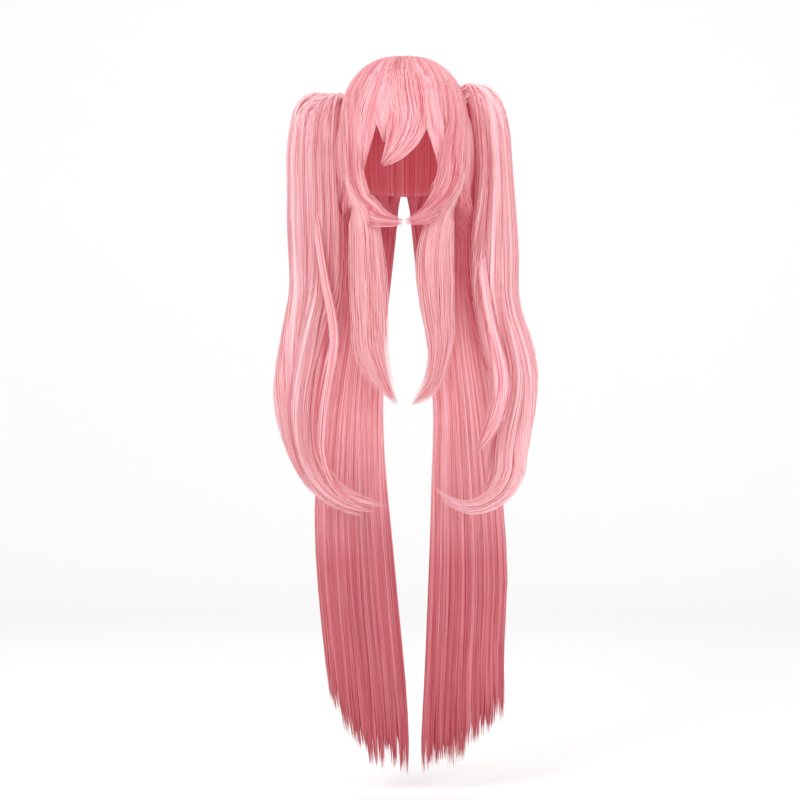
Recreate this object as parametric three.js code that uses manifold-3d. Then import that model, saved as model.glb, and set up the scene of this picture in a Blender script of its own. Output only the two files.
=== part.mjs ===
// A long pink wig with a fringe, two cheek locks, two forelocks, a divided fall of straight back hair
// and two clip-on pigtails. It hangs as it does on a head.
//
// Millimetres, +Z up. The origin is the point inside the crown that rests on top of the head.
// The face looks along -Y. "left" and "right" are the wearer's, so right is -X.
import * as THREE from "three";
import { mergeVertices } from "three/addons/utils/BufferGeometryUtils.js";
import Module from "manifold-3d";

const wasm = await Module();
wasm.setup();

// Driving sizes of the head that the wig fits
const HEAD_WIDTH = 152;
const HEAD_DEPTH = 190;
const HEAD_HEIGHT = 222;

// Thickness of the hair on the crown
const HAIR_ON_TOP = 12;
const HAIR_AT_SIDES = 15;
const HAIR_FRONT_AND_BACK = 12;

// Reach of the hair below the chin, and the face window
const BACK_HAIR_HANG = 776;
const FORELOCK_HANG = 255;
const FACE_WINDOW_WIDTH = 112;
const HAIRLINE_DROP = 50;

// Widths and thicknesses that the locks are shares of
const FRINGE_WIDTH = 68;
const FRINGE_THICKNESS = 11;
const CHEEK_WIDTH = 45;
const CHEEK_THICKNESS = 12;
const FORELOCK_WIDTH = 38;
const FORELOCK_THICKNESS = 18;
const BACK_LOCK_THICKNESS = 30;

// The pigtails, measured from the clip
const PIGTAIL_LENGTH = 560;
const PIGTAIL_REACH = 54.5;
const PIGTAIL_WIDTH = 77;
const PIGTAIL_DEPTH = 56;
const CLIP_RADIUS = 8;
const CLIP_FLANGE_RADIUS = 13;
const CLIP_FLANGE_THICKNESS = 3;
const CLIP_LENGTH = 22;

// Gap between neighbouring pieces, and how far a root sinks towards the head
const GAP = 0.3;
const SINK = 8;

const CROWN_HEIGHT = HEAD_HEIGHT + HAIR_ON_TOP;
const CROWN_HALF_WIDTH = HEAD_WIDTH / 2 + HAIR_AT_SIDES;
const CROWN_HALF_DEPTH = HEAD_DEPTH / 2 + HAIR_FRONT_AND_BACK;

const COLOURS = {
  crown: 0xf3a3ad,
  fringe: 0xf5a7b0,
  pigtail: 0xf2a0ab,
  back: 0xd9747f,
  clip: 0xb8606c,
};

// The head from its top to the chin, as shares of its height and of its half width and half depths
const HEAD_FORM = [
  { down: 0.0, wide: 0.0, front: 0.0, back: 0.0 },
  { down: 0.03, wide: 0.42, front: 0.42, back: 0.42 },
  { down: 0.1, wide: 0.69, front: 0.68, back: 0.7 },
  { down: 0.2, wide: 0.87, front: 0.87, back: 0.88 },
  { down: 0.32, wide: 0.96, front: 0.96, back: 0.97 },
  { down: 0.47, wide: 1.0, front: 1.0, back: 1.0 },
  { down: 0.62, wide: 0.99, front: 1.0, back: 0.95 },
  { down: 0.77, wide: 0.93, front: 0.98, back: 0.82 },
  { down: 0.9, wide: 0.78, front: 0.93, back: 0.7 },
  { down: 0.98, wide: 0.5, front: 0.8, back: 0.5 },
  { down: 1.0, wide: 0.0, front: 0.0, back: 0.0 },
];
const SQUARENESS = 2.2;

// Value of one column of a table at a share t of its length, passing smoothly through the rows
function columnAt(rows, name, t) {
  const along = THREE.MathUtils.clamp(t, 0, 1) * (rows.length - 1);
  const i = Math.min(Math.floor(along), rows.length - 2);
  const f = along - i;
  const value = (k) => rows[THREE.MathUtils.clamp(k, 0, rows.length - 1)][name];
  const [before, start, end, after] = [value(i - 1), value(i), value(i + 1), value(i + 2)];
  const leave = (end - before) / 2;
  const arrive = (after - start) / 2;
  const cubic = 2 * start - 2 * end + leave + arrive;
  const square = -3 * start + 3 * end - 2 * leave - arrive;
  return ((cubic * f + square) * f + leave) * f + start;
}

// Share of the head form's table at which the head has come down by a share of its height
function formShare(down) {
  let [low, high] = [0, 1];
  for (let i = 0; i < 24; i++) {
    const middle = (low + high) / 2;
    if (columnAt(HEAD_FORM, "down", middle) < down) low = middle;
    else high = middle;
  }
  return low;
}

// A point on the head form at a share of the table. The turn goes round from the face towards +X.
function formPoint(share, turn, size) {
  const curve = (v) => Math.sign(v) * Math.abs(v) ** (2 / SQUARENESS);
  const across = columnAt(HEAD_FORM, "wide", share) * size.halfWidth;
  const depth = columnAt(HEAD_FORM, Math.cos(turn) > 0 ? "front" : "back", share) * size.halfDepth;
  return new THREE.Vector3(
    across * curve(Math.sin(turn)),
    -depth * curve(Math.cos(turn)),
    size.top - columnAt(HEAD_FORM, "down", share) * size.height,
  );
}

const headSize = (grow) => ({
  halfWidth: HEAD_WIDTH / 2 + grow,
  halfDepth: HEAD_DEPTH / 2 + grow,
  height: HEAD_HEIGHT + 2 * grow,
  top: grow,
});

const crownSize = (grow) => ({
  halfWidth: CROWN_HALF_WIDTH + grow,
  halfDepth: CROWN_HALF_DEPTH + grow,
  height: CROWN_HEIGHT + 2 * grow,
  top: HAIR_ON_TOP + grow,
});

// A closed three.js geometry as a solid, and a solid as a geometry
function solidOf(geometry) {
  const bare = geometry.clone();
  bare.deleteAttribute("normal");
  bare.deleteAttribute("uv");
  const merged = mergeVertices(bare, 1e-4);
  return new wasm.Manifold(
    new wasm.Mesh({
      numProp: 3,
      vertProperties: merged.attributes.position.array,
      triVerts: new Uint32Array(merged.index.array),
    }),
  );
}

function geometryOf(solid) {
  const mesh = solid.getMesh();
  const geometry = new THREE.BufferGeometry();
  geometry.setAttribute("position", new THREE.BufferAttribute(new Float32Array(mesh.vertProperties), 3));
  geometry.setIndex(new THREE.BufferAttribute(new Uint32Array(mesh.triVerts), 1));
  geometry.computeVertexNormals();
  return geometry;
}

const joined = (solids) => solids.reduce((all, next) => all.add(next));

// The largest body of a solid that a cut may have parted
function largestBody(solid) {
  const bodies = solid.decompose();
  return bodies.reduce((most, next) => (next.volume() > most.volume() ? next : most));
}

// Moves each vertex of a geometry to where place() puts it
function reshaped(geometry, place) {
  const position = geometry.attributes.position;
  const vertex = new THREE.Vector3();
  for (let i = 0; i < position.count; i++) {
    vertex.fromBufferAttribute(position, i);
    position.setXYZ(i, ...place(vertex).toArray());
  }
  return geometry;
}

// The head form, or the crown's outer form, as one solid
function formSolid(size, around, down) {
  const ball = new THREE.SphereGeometry(1, around, down);
  const onForm = (v) => {
    const share = Math.acos(THREE.MathUtils.clamp(v.y, -1, 1)) / Math.PI;
    return formPoint(share, Math.atan2(v.x, v.z), size);
  };
  return solidOf(reshaped(ball, onForm));
}

// A station of a lock: its place, the way its broad face looks, and its width and thickness
const station = (at, facing, wide, thick, lift = 0) => ({ at, facing, wide, thick, lift });

// A station on the hair of the crown, a share down the head and a turn in degrees from the face
function onCrown(row, width, thickness) {
  const turn = THREE.MathUtils.degToRad(row.around);
  const lift = (row.lift ?? 0) * HAIR_ON_TOP;
  const at = formPoint(formShare(row.down), turn, crownSize(lift));
  const facing = new THREE.Vector3(at.x / CROWN_HALF_WIDTH ** 2, at.y / CROWN_HALF_DEPTH ** 2, 0);
  return station(at, facing.normalize(), row.wide * width, row.thick * thickness, lift);
}

// The same point moved straight towards the crown's form, or out from it by a lift
function settled(point, lift) {
  const size = crownSize(lift);
  const down = (size.top - point.z) / size.height;
  const share = formShare(THREE.MathUtils.clamp(down, 0, 1));
  const uncurve = (v) => Math.sign(v) * Math.abs(v) ** (SQUARENESS / 2);
  const turn = Math.atan2(uncurve(point.x / size.halfWidth), uncurve(-point.y / size.halfDepth));
  return formPoint(share, turn, size);
}

// A lock of hair through its stations: a tube of LOCK_SIDES sides with closed ends. Its first "clings"
// stations lie on the crown and bend their breadth round it.
const LOCK_SIDES = 6;
const LOCK_SIDE_REACH = Math.sin(Math.PI / 3);
const LOCK_RINGS_PER_STATION = 1.5;
const TIP = 1.2;

function lockSolid(stations, grow, { clings = 0, end = 1, rings } = {}) {
  const last = stations.length - 1;
  const path = new THREE.CatmullRomCurve3(stations.map((s) => s.at), false, "centripetal");
  const steps = rings ?? Math.round(LOCK_RINGS_PER_STATION * last);
  const tube = new THREE.CylinderGeometry(1, 1, 1, LOCK_SIDES, steps);
  const onLock = (v) => {
    const t = (0.5 - v.y) * end;
    const i = Math.min(Math.floor(t * last), last - 1);
    const facing = stations[i].facing.clone().lerp(stations[i + 1].facing, t * last - i);
    const tangent = path.getTangent(t);
    const side = new THREE.Vector3().crossVectors(facing, tangent).normalize();
    const out = new THREE.Vector3().crossVectors(tangent, side);
    const taper = end < 1 ? Math.min(1, Math.sqrt((end - t) * 5)) : 1;
    const halfWidth = Math.max(TIP, (columnAt(stations, "wide", t) / 2) * taper) + grow;
    const halfThick = Math.max(TIP, (columnAt(stations, "thick", t) / 2) * taper) + grow;
    const past = v.y > 0.49 ? -grow : v.y < -0.49 ? grow : 0;
    const at = path.getPoint(t);
    at.addScaledVector(side, (v.x / LOCK_SIDE_REACH) * halfWidth).addScaledVector(tangent, past);
    const hold = THREE.MathUtils.clamp(clings - t * last, 0, 1);
    const bent = hold ? settled(at, columnAt(stations, "lift", t) + v.z * halfThick) : at;
    return at.addScaledVector(out, v.z * halfThick).lerp(bent, hold);
  };
  return solidOf(reshaped(tube, onLock));
}

// The crown: a hollow shell of hair with the face window and the neck open
const CROWN_AROUND = 32;
const CROWN_DOWN = 13;
const HEAD_AROUND = 24;
const HEAD_DOWN = 11;
const RIM_DROP_AT_FACE = 150;
const RIM_DROP_AT_NAPE = 178;

function faceWindow(shrink) {
  const halfWidth = FACE_WINDOW_WIDTH / 2 - shrink;
  const arch = new THREE.Shape();
  arch.moveTo(-halfWidth, -2 * HEAD_HEIGHT);
  arch.lineTo(halfWidth, -2 * HEAD_HEIGHT);
  arch.absarc(0, -HAIRLINE_DROP - shrink - halfWidth, halfWidth, 0, Math.PI, false);
  const through = { depth: HEAD_DEPTH, bevelEnabled: false, curveSegments: 12 };
  return solidOf(new THREE.ExtrudeGeometry(arch, through).rotateX(Math.PI / 2));
}

function belowRim(grow) {
  const slope = Math.atan2(RIM_DROP_AT_NAPE - RIM_DROP_AT_FACE, HEAD_DEPTH);
  const middle = (RIM_DROP_AT_FACE + RIM_DROP_AT_NAPE) / 2 + grow;
  const block = new THREE.BoxGeometry(4 * HEAD_WIDTH, 4 * HEAD_DEPTH, HEAD_HEIGHT);
  block.translate(0, 0, -HEAD_HEIGHT / 2).rotateX(-slope).translate(0, 0, -middle);
  return solidOf(block);
}

function crownSolid(grow = 0) {
  const outer = formSolid(crownSize(grow), CROWN_AROUND, CROWN_DOWN);
  return outer
    .subtract(formSolid(headSize(-grow), HEAD_AROUND, HEAD_DOWN))
    .subtract(faceWindow(grow))
    .subtract(belowRim(grow));
}

// The fringe and the face-framing locks that lie on the crown: "down" is a share of the head's height,
// "around" in degrees, "wide" and "thick" shares of the lock's sizes, "lift" of the hair's thickness on top.
const FRINGE_MIDDLE = [
  { down: 0.075, around: 0.0, wide: 0.60, thick: 0.50, lift: -0.25 },
  { down: 0.187, around: -0.5, wide: 0.88, thick: 0.90, lift: 0 },
  { down: 0.310, around: 1.0, wide: 1.00, thick: 1.00, lift: 0 },
  { down: 0.400, around: 2.5, wide: 0.92, thick: 1.00, lift: 0 },
  { down: 0.480, around: 1.2, wide: 0.80, thick: 1.00, lift: 0 },
  { down: 0.550, around: -2.0, wide: 0.66, thick: 0.95, lift: 0 },
  { down: 0.610, around: -7.0, wide: 0.47, thick: 0.80, lift: -0.17 },
  { down: 0.660, around: -13.0, wide: 0.28, thick: 0.60, lift: -0.25 },
  { down: 0.700, around: -19.5, wide: 0.08, thick: 0.30, lift: -0.33 },
];
const FRINGE_WISP = [
  { down: 0.089, around: -13.1, wide: 0.40, thick: 0.50, lift: -0.25 },
  { down: 0.248, around: -14.1, wide: 0.48, thick: 0.90, lift: 0 },
  { down: 0.349, around: -16.7, wide: 0.44, thick: 0.95, lift: 0 },
  { down: 0.425, around: -17.1, wide: 0.30, thick: 0.80, lift: 0 },
  { down: 0.494, around: -16.8, wide: 0.14, thick: 0.60, lift: -0.17 },
  { down: 0.565, around: -16.1, wide: 0.04, thick: 0.30, lift: -0.33 },
];
const FRINGE_RIGHT = [
  { down: 0.100, around: -26.1, wide: 0.44, thick: 0.50, lift: -0.25 },
  { down: 0.242, around: -28.3, wide: 0.56, thick: 0.90, lift: 0 },
  { down: 0.371, around: -33.2, wide: 0.62, thick: 1.00, lift: 0 },
  { down: 0.476, around: -35.1, wide: 0.52, thick: 0.90, lift: 0 },
  { down: 0.576, around: -37.0, wide: 0.40, thick: 0.70, lift: 0 },
  { down: 0.720, around: -42.0, wide: 0.16, thick: 0.40, lift: -0.08 },
];
const FRINGE_LEFT = [
  { down: 0.100, around: 26.1, wide: 0.28, thick: 0.50, lift: -0.25 },
  { down: 0.286, around: 24.1, wide: 0.40, thick: 0.90, lift: 0 },
  { down: 0.405, around: 23.7, wide: 0.36, thick: 0.90, lift: 0 },
  { down: 0.493, around: 25.0, wide: 0.30, thick: 0.70, lift: 0 },
  { down: 0.579, around: 30.0, wide: 0.26, thick: 0.60, lift: -0.17 },
  { down: 0.700, around: 34.0, wide: 0.12, thick: 0.30, lift: -0.25 },
];
const CHEEK_RIGHT = {
  head: [
    { down: 0.135, around: -57.5, wide: 0.48, thick: 0.50, lift: -0.25 },
    { down: 0.263, around: -58.2, wide: 0.81, thick: 0.90, lift: 0 },
    { down: 0.416, around: -53.4, wide: 0.96, thick: 1.00, lift: 0 },
    { down: 0.564, around: -51.1, wide: 1.02, thick: 1.00, lift: 0 },
    { down: 0.697, around: -53.0, wide: 0.93, thick: 1.00, lift: 0 },
    { down: 0.847, around: -54.7, wide: 0.90, thick: 0.90, lift: 0 },
    { down: 0.917, around: -53.6, wide: 0.81, thick: 0.80, lift: 0 },
  ],
  hang: [
    { drop: -0.024, across: -0.455, front: 0.77, wide: 0.6, thick: 0.6 },
    { drop: -0.002, across: -0.299, front: 0.81, wide: 0.39, thick: 0.5 },
    { drop: 0.013, across: -0.134, front: 0.84, wide: 0.24, thick: 0.4 },
    { drop: 0.017, across: -0.01, front: 0.85, wide: 0.12, thick: 0.3 },
  ],
};
const CHEEK_LEFT = {
  head: [
    { down: 0.147, around: 50.4, wide: 0.48, thick: 0.50, lift: -0.25 },
    { down: 0.269, around: 50.6, wide: 0.81, thick: 0.90, lift: 0 },
    { down: 0.417, around: 51.8, wide: 0.96, thick: 1.00, lift: 0 },
    { down: 0.565, around: 49.6, wide: 1.11, thick: 1.00, lift: 0 },
    { down: 0.686, around: 51.9, wide: 1.11, thick: 1.00, lift: 0 },
    { down: 0.794, around: 55.1, wide: 0.99, thick: 0.95, lift: 0 },
    { down: 0.892, around: 46.4, wide: 0.78, thick: 0.80, lift: 0 },
  ],
  hang: [
    { drop: -0.034, across: 0.389, front: 0.79, wide: 0.48, thick: 0.6 },
    { drop: 0.0, across: 0.179, front: 0.83, wide: 0.27, thick: 0.45 },
    { drop: 0.016, across: 0.01, front: 0.85, wide: 0.12, thick: 0.3 },
  ],
};

const FORWARD = new THREE.Vector3(0, -1, 0);

// A lock that lies on the crown and may then hang free of it. "drop" is a share of the forelocks' hang below
// the chin, "across" and "front" are shares of the crown's half width and half depth.
function crownLock({ head, hang = [] }, width, thickness) {
  const onHead = head.map((row) => onCrown(row, width, thickness));
  const hanging = hang.map((row) =>
    station(
      new THREE.Vector3(
        row.across * CROWN_HALF_WIDTH,
        -row.front * CROWN_HALF_DEPTH,
        -HEAD_HEIGHT - row.drop * FORELOCK_HANG,
      ),
      FORWARD,
      row.wide * width,
      row.thick * thickness,
    ),
  );
  return (grow) => lockSolid([...onHead, ...hanging], grow, { clings: onHead.length });
}

const fringeLock = (head) => crownLock({ head }, FRINGE_WIDTH, FRINGE_THICKNESS);
const cheekLock = (table) => crownLock(table, CHEEK_WIDTH, CHEEK_THICKNESS);
const forelock = (table) => crownLock(table, FORELOCK_WIDTH, FORELOCK_THICKNESS);

// The forelocks start on the cheeks and hang below the chin
const FORELOCK_RIGHT = {
  head: [
    { down: 0.66, around: -58, wide: 0.6, thick: 0.5 },
    { down: 0.8, around: -58, wide: 0.8, thick: 0.8 },
  ],
  hang: [
    { drop: 0.0, across: -0.6, front: 0.66, wide: 0.85, thick: 0.95 },
    { drop: 0.2, across: -0.55, front: 0.66, wide: 0.92, thick: 1.0 },
    { drop: 0.38, across: -0.52, front: 0.64, wide: 0.92, thick: 0.95 },
    { drop: 0.54, across: -0.505, front: 0.62, wide: 0.8, thick: 0.85 },
    { drop: 0.68, across: -0.485, front: 0.6, wide: 0.7, thick: 0.7 },
    { drop: 0.8, across: -0.4, front: 0.6, wide: 0.52, thick: 0.55 },
    { drop: 0.91, across: -0.26, front: 0.6, wide: 0.3, thick: 0.4 },
    { drop: 0.99, across: -0.1, front: 0.6, wide: 0.08, thick: 0.15 },
  ],
};
const FORELOCK_LEFT = {
  head: [
    { down: 0.64, around: 60, wide: 0.6, thick: 0.5 },
    { down: 0.78, around: 60, wide: 0.8, thick: 0.8 },
  ],
  hang: [
    { drop: -0.01, across: 0.55, front: 0.66, wide: 0.85, thick: 0.95 },
    { drop: 0.19, across: 0.46, front: 0.68, wide: 1.0, thick: 1.0 },
    { drop: 0.34, across: 0.475, front: 0.66, wide: 0.95, thick: 0.95 },
    { drop: 0.5, across: 0.505, front: 0.63, wide: 0.75, thick: 0.85 },
    { drop: 0.62, across: 0.545, front: 0.61, wide: 0.6, thick: 0.7 },
    { drop: 0.73, across: 0.525, front: 0.6, wide: 0.45, thick: 0.6 },
    { drop: 0.86, across: 0.44, front: 0.6, wide: 0.36, thick: 0.5 },
    { drop: 0.93, across: 0.3, front: 0.6, wide: 0.28, thick: 0.4 },
    { drop: 0.99, across: 0.11, front: 0.6, wide: 0.08, thick: 0.15 },
  ],
};
// Each pigtail follows a guide from its clip. "out" is a share of the reach, "fall" and "front" of the
// length, "wide" and "deep" of the width and depth. Its locks lie across and through it.
const PIGTAIL_RINGS = 20;
const PIGTAIL_RIGHT = {
  side: -1,
  clipDown: 0.3,
  clipAround: 92,
  guide: [
    { out: -0.11, fall: -0.002, front: 0.0, wide: 0.42, deep: 0.5 },
    { out: 0.16, fall: -0.007, front: 0.0, wide: 0.49, deep: 0.56 },
    { out: 0.49, fall: -0.002, front: 0.003, wide: 0.59, deep: 0.66 },
    { out: 0.73, fall: 0.022, front: 0.006, wide: 0.76, deep: 0.78 },
    { out: 0.73, fall: 0.07, front: 0.01, wide: 0.89, deep: 0.88 },
    { out: 0.74, fall: 0.133, front: 0.013, wide: 0.95, deep: 0.96 },
    { out: 0.71, fall: 0.208, front: 0.017, wide: 0.96, deep: 1.0 },
    { out: 0.68, fall: 0.296, front: 0.02, wide: 1.0, deep: 1.0 },
    { out: 0.65, fall: 0.388, front: 0.025, wide: 0.96, deep: 1.0 },
    { out: 0.65, fall: 0.466, front: 0.03, wide: 0.94, deep: 1.0 },
    { out: 0.76, fall: 0.538, front: 0.035, wide: 0.96, deep: 1.0 },
    { out: 0.87, fall: 0.613, front: 0.04, wide: 1.0, deep: 1.0 },
    { out: 0.98, fall: 0.683, front: 0.044, wide: 1.01, deep: 0.98 },
    { out: 1.03, fall: 0.747, front: 0.047, wide: 0.94, deep: 0.94 },
    { out: 1.0, fall: 0.812, front: 0.05, wide: 0.79, deep: 0.86 },
    { out: 0.89, fall: 0.871, front: 0.054, wide: 0.64, deep: 0.76 },
    { out: 0.63, fall: 0.925, front: 0.058, wide: 0.58, deep: 0.62 },
    { out: 0.25, fall: 0.966, front: 0.06, wide: 0.51, deep: 0.5 },
    { out: -0.2, fall: 0.99, front: 0.062, wide: 0.46, deep: 0.42 },
    { out: -0.7, fall: 1.002, front: 0.062, wide: 0.36, deep: 0.3 },
    { out: -1.19, fall: 1.0, front: 0.06, wide: 0.1, deep: 0.1 },
  ],
  locks: [
    { across: -1.0, through: 0.4, wide: 0.37, deep: 0.6, end: 1.0, stray: 0 },
    { across: 0.02, through: 0.75, wide: 0.38, deep: 0.6, end: 0.97, stray: 0.03 },
    { across: 1.0, through: 0.35, wide: 0.37, deep: 0.58, end: 0.82, stray: 0.04 },
    { across: 0.5, through: -0.7, wide: 0.44, deep: 0.56, end: 0.94, stray: 0.08 },
    { across: -0.5, through: -0.7, wide: 0.44, deep: 0.56, end: 0.9, stray: 0 },
  ],
};
const PIGTAIL_LEFT = {
  side: 1,
  clipDown: 0.235,
  clipAround: 96,
  guide: [
    { out: -0.14, fall: 0.001, front: 0.0, wide: 0.42, deep: 0.5 },
    { out: 0.11, fall: -0.003, front: 0.0, wide: 0.49, deep: 0.56 },
    { out: 0.39, fall: 0.004, front: 0.003, wide: 0.61, deep: 0.66 },
    { out: 0.61, fall: 0.028, front: 0.006, wide: 0.65, deep: 0.78 },
    { out: 0.74, fall: 0.083, front: 0.01, wide: 0.64, deep: 0.88 },
    { out: 0.81, fall: 0.158, front: 0.013, wide: 0.63, deep: 0.96 },
    { out: 0.83, fall: 0.234, front: 0.017, wide: 0.68, deep: 1.0 },
    { out: 0.82, fall: 0.322, front: 0.02, wide: 0.79, deep: 1.0 },
    { out: 0.82, fall: 0.41, front: 0.025, wide: 0.85, deep: 1.0 },
    { out: 0.83, fall: 0.49, front: 0.03, wide: 0.81, deep: 1.0 },
    { out: 0.96, fall: 0.56, front: 0.035, wide: 0.79, deep: 1.0 },
    { out: 1.15, fall: 0.622, front: 0.04, wide: 0.83, deep: 0.98 },
    { out: 1.31, fall: 0.69, front: 0.044, wide: 0.79, deep: 0.96 },
    { out: 1.29, fall: 0.759, front: 0.047, wide: 0.77, deep: 0.92 },
    { out: 1.14, fall: 0.834, front: 0.05, wide: 0.79, deep: 0.86 },
    { out: 1.07, fall: 0.889, front: 0.054, wide: 0.75, deep: 0.76 },
    { out: 1.04, fall: 0.938, front: 0.058, wide: 0.7, deep: 0.64 },
    { out: 0.81, fall: 0.983, front: 0.06, wide: 0.58, deep: 0.54 },
    { out: 0.39, fall: 1.01, front: 0.062, wide: 0.46, deep: 0.42 },
    { out: 0.0, fall: 1.015, front: 0.062, wide: 0.34, deep: 0.32 },
    { out: -0.4, fall: 0.997, front: 0.06, wide: 0.2, deep: 0.2 },
    { out: -0.72, fall: 0.976, front: 0.06, wide: 0.05, deep: 0.08 },
  ],
  locks: [
    { across: -1.0, through: 0.4, wide: 0.37, deep: 0.6, end: 0.77, stray: -0.12 },
    { across: 0.02, through: 0.75, wide: 0.38, deep: 0.6, end: 0.98, stray: 0 },
    { across: 1.0, through: 0.35, wide: 0.37, deep: 0.58, end: 0.96, stray: 0.04 },
    { across: 0.5, through: -0.7, wide: 0.44, deep: 0.56, end: 1.0, stray: 0 },
    { across: -0.5, through: -0.7, wide: 0.44, deep: 0.56, end: 0.84, stray: -0.06 },
  ],
};

// The point on the crown where a pigtail's clip sits
function clipPoint(tail) {
  const turn = THREE.MathUtils.degToRad(tail.side * tail.clipAround);
  return formPoint(formShare(tail.clipDown), turn, crownSize(0));
}

function guidePoint(tail, row) {
  return clipPoint(tail).add(
    new THREE.Vector3(
      tail.side * row.out * PIGTAIL_REACH,
      -row.front * PIGTAIL_LENGTH,
      -row.fall * PIGTAIL_LENGTH,
    ),
  );
}

function pigtailLock(tail, lock, grow) {
  const points = tail.guide.map((row) => guidePoint(tail, row));
  const guide = new THREE.CatmullRomCurve3(points, false, "centripetal");
  const last = tail.guide.length - 1;
  const stations = tail.guide.map((row, i) => {
    const across = new THREE.Vector3().crossVectors(guide.getTangent(i / last), FORWARD).normalize();
    const [wide, deep] = [row.wide * PIGTAIL_WIDTH, row.deep * PIGTAIL_DEPTH];
    const astray = lock.stray * PIGTAIL_WIDTH * (i / last / lock.end) ** 3;
    const shift = (lock.across * (1 - lock.wide) * wide) / 2 + astray;
    const forward = (lock.through * (1 - lock.deep) * deep) / 2;
    const at = guide.getPoint(i / last).addScaledVector(across, -tail.side * shift);
    return station(at.addScaledVector(FORWARD, forward), FORWARD, lock.wide * wide, lock.deep * deep);
  });
  return lockSolid(stations, grow, { end: lock.end, rings: Math.round(PIGTAIL_RINGS * lock.end) });
}

const pigtailSolid = (tail, grow) => joined(tail.locks.map((lock) => pigtailLock(tail, lock, grow)));

// The hidden clip that carries a pigtail: a flange on the crown and a post in the pigtail's root
function clipSolid(tail, grow) {
  const flange = new THREE.CylinderGeometry(
    CLIP_FLANGE_RADIUS + grow,
    CLIP_FLANGE_RADIUS + grow,
    CLIP_FLANGE_THICKNESS + SINK + 2 * grow,
    16,
  );
  const post = new THREE.CylinderGeometry(CLIP_RADIUS + grow, CLIP_RADIUS + grow, CLIP_LENGTH + grow, 12);
  flange.translate(0, (CLIP_FLANGE_THICKNESS - SINK) / 2, 0);
  post.translate(0, (CLIP_LENGTH + grow) / 2, 0);
  const point = clipPoint(tail);
  const lean = solidOf(flange).add(solidOf(post));
  return lean.rotate([0, 0, -tail.side * 90]).translate(point.toArray());
}

// The back hair: locks that lie on the crown and then hang. "drop" is a share of the hang below the chin,
// "inner" and "outer" of the crown's half width, "inBack" and "outBack" of its half depth, and "bow"
// of the spread between the two edges.
const BACK_RIGHT = {
  side: -1,
  hang: [
    { drop: 0.0, inner: 0.04, outer: 0.96, inBack: 0.84, outBack: -0.05, bow: 0.28, wide: 1.0, thick: 0.8 },
    { drop: 0.115, inner: 0.2, outer: 0.97, inBack: 0.8, outBack: 0.1, bow: 0.22, wide: 1.0, thick: 0.85 },
    { drop: 0.207, inner: 0.31, outer: 1.06, inBack: 0.74, outBack: 0.28, bow: 0.14, wide: 1.0, thick: 0.9 },
    { drop: 0.317, inner: 0.335, outer: 1.23, inBack: 0.68, outBack: 0.4, bow: 0.07, wide: 1.0, thick: 0.95 },
    { drop: 0.445, inner: 0.285, outer: 1.35, inBack: 0.63, outBack: 0.46, bow: 0.03, wide: 1.0, thick: 0.9 },
    { drop: 0.574, inner: 0.18, outer: 1.41, inBack: 0.6, outBack: 0.48, bow: 0.0, wide: 1.0, thick: 0.85 },
    { drop: 0.703, inner: 0.075, outer: 1.37, inBack: 0.58, outBack: 0.5, bow: 0.0, wide: 1.0, thick: 0.8 },
    { drop: 0.831, inner: -0.03, outer: 1.27, inBack: 0.57, outBack: 0.5, bow: 0.0, wide: 1.0, thick: 0.7 },
    { drop: 0.941, inner: -0.09, outer: 1.18, inBack: 0.56, outBack: 0.5, bow: 0.0, wide: 0.98, thick: 0.5 },
    { drop: 1.0, inner: -0.09, outer: 1.1, inBack: 0.56, outBack: 0.5, bow: 0.0, wide: 0.5, thick: 0.2 },
  ],
  locks: [
    { share: 0.115, around: 167, start: 0.03, end: 1.0 },
    { share: 0.27, around: 148, start: 0.04, end: 0.985 },
    { share: 0.425, around: 128, start: 0.03, end: 0.992 },
    { share: 0.575, around: 109, start: 0.05, end: 0.96 },
    { share: 0.73, around: 90, start: 0.39, end: 0.94 },
    { share: 0.885, around: 71, start: 0.42, end: 0.89 },
  ],
};
const BACK_LEFT = {
  side: 1,
  hang: [
    { drop: 0.0, inner: 0.04, outer: 1.02, inBack: 0.84, outBack: -0.05, bow: 0.28, wide: 1.0, thick: 0.8 },
    { drop: 0.115, inner: 0.2, outer: 1.07, inBack: 0.8, outBack: 0.12, bow: 0.22, wide: 1.0, thick: 0.85 },
    { drop: 0.207, inner: 0.36, outer: 1.17, inBack: 0.74, outBack: 0.3, bow: 0.14, wide: 1.0, thick: 0.9 },
    { drop: 0.317, inner: 0.465, outer: 1.32, inBack: 0.68, outBack: 0.4, bow: 0.07, wide: 1.0, thick: 0.95 },
    { drop: 0.445, inner: 0.435, outer: 1.46, inBack: 0.63, outBack: 0.46, bow: 0.03, wide: 1.0, thick: 0.9 },
    { drop: 0.574, inner: 0.405, outer: 1.57, inBack: 0.6, outBack: 0.48, bow: 0.0, wide: 1.0, thick: 0.85 },
    { drop: 0.703, inner: 0.36, outer: 1.62, inBack: 0.58, outBack: 0.5, bow: 0.0, wide: 1.0, thick: 0.8 },
    { drop: 0.831, inner: 0.31, outer: 1.57, inBack: 0.57, outBack: 0.5, bow: 0.0, wide: 1.0, thick: 0.7 },
    { drop: 0.941, inner: 0.26, outer: 1.58, inBack: 0.56, outBack: 0.5, bow: 0.0, wide: 0.98, thick: 0.5 },
    { drop: 1.0, inner: 0.26, outer: 1.56, inBack: 0.56, outBack: 0.5, bow: 0.0, wide: 0.5, thick: 0.2 },
  ],
  locks: [
    { share: 0.115, around: 167, start: 0.03, end: 0.997 },
    { share: 0.27, around: 148, start: 0.04, end: 0.98 },
    { share: 0.425, around: 128, start: 0.03, end: 0.985 },
    { share: 0.575, around: 109, start: 0.05, end: 0.955 },
    { share: 0.73, around: 90, start: 0.34, end: 0.938 },
    { share: 0.885, around: 71, start: 0.4, end: 0.915 },
  ],
};
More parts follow.
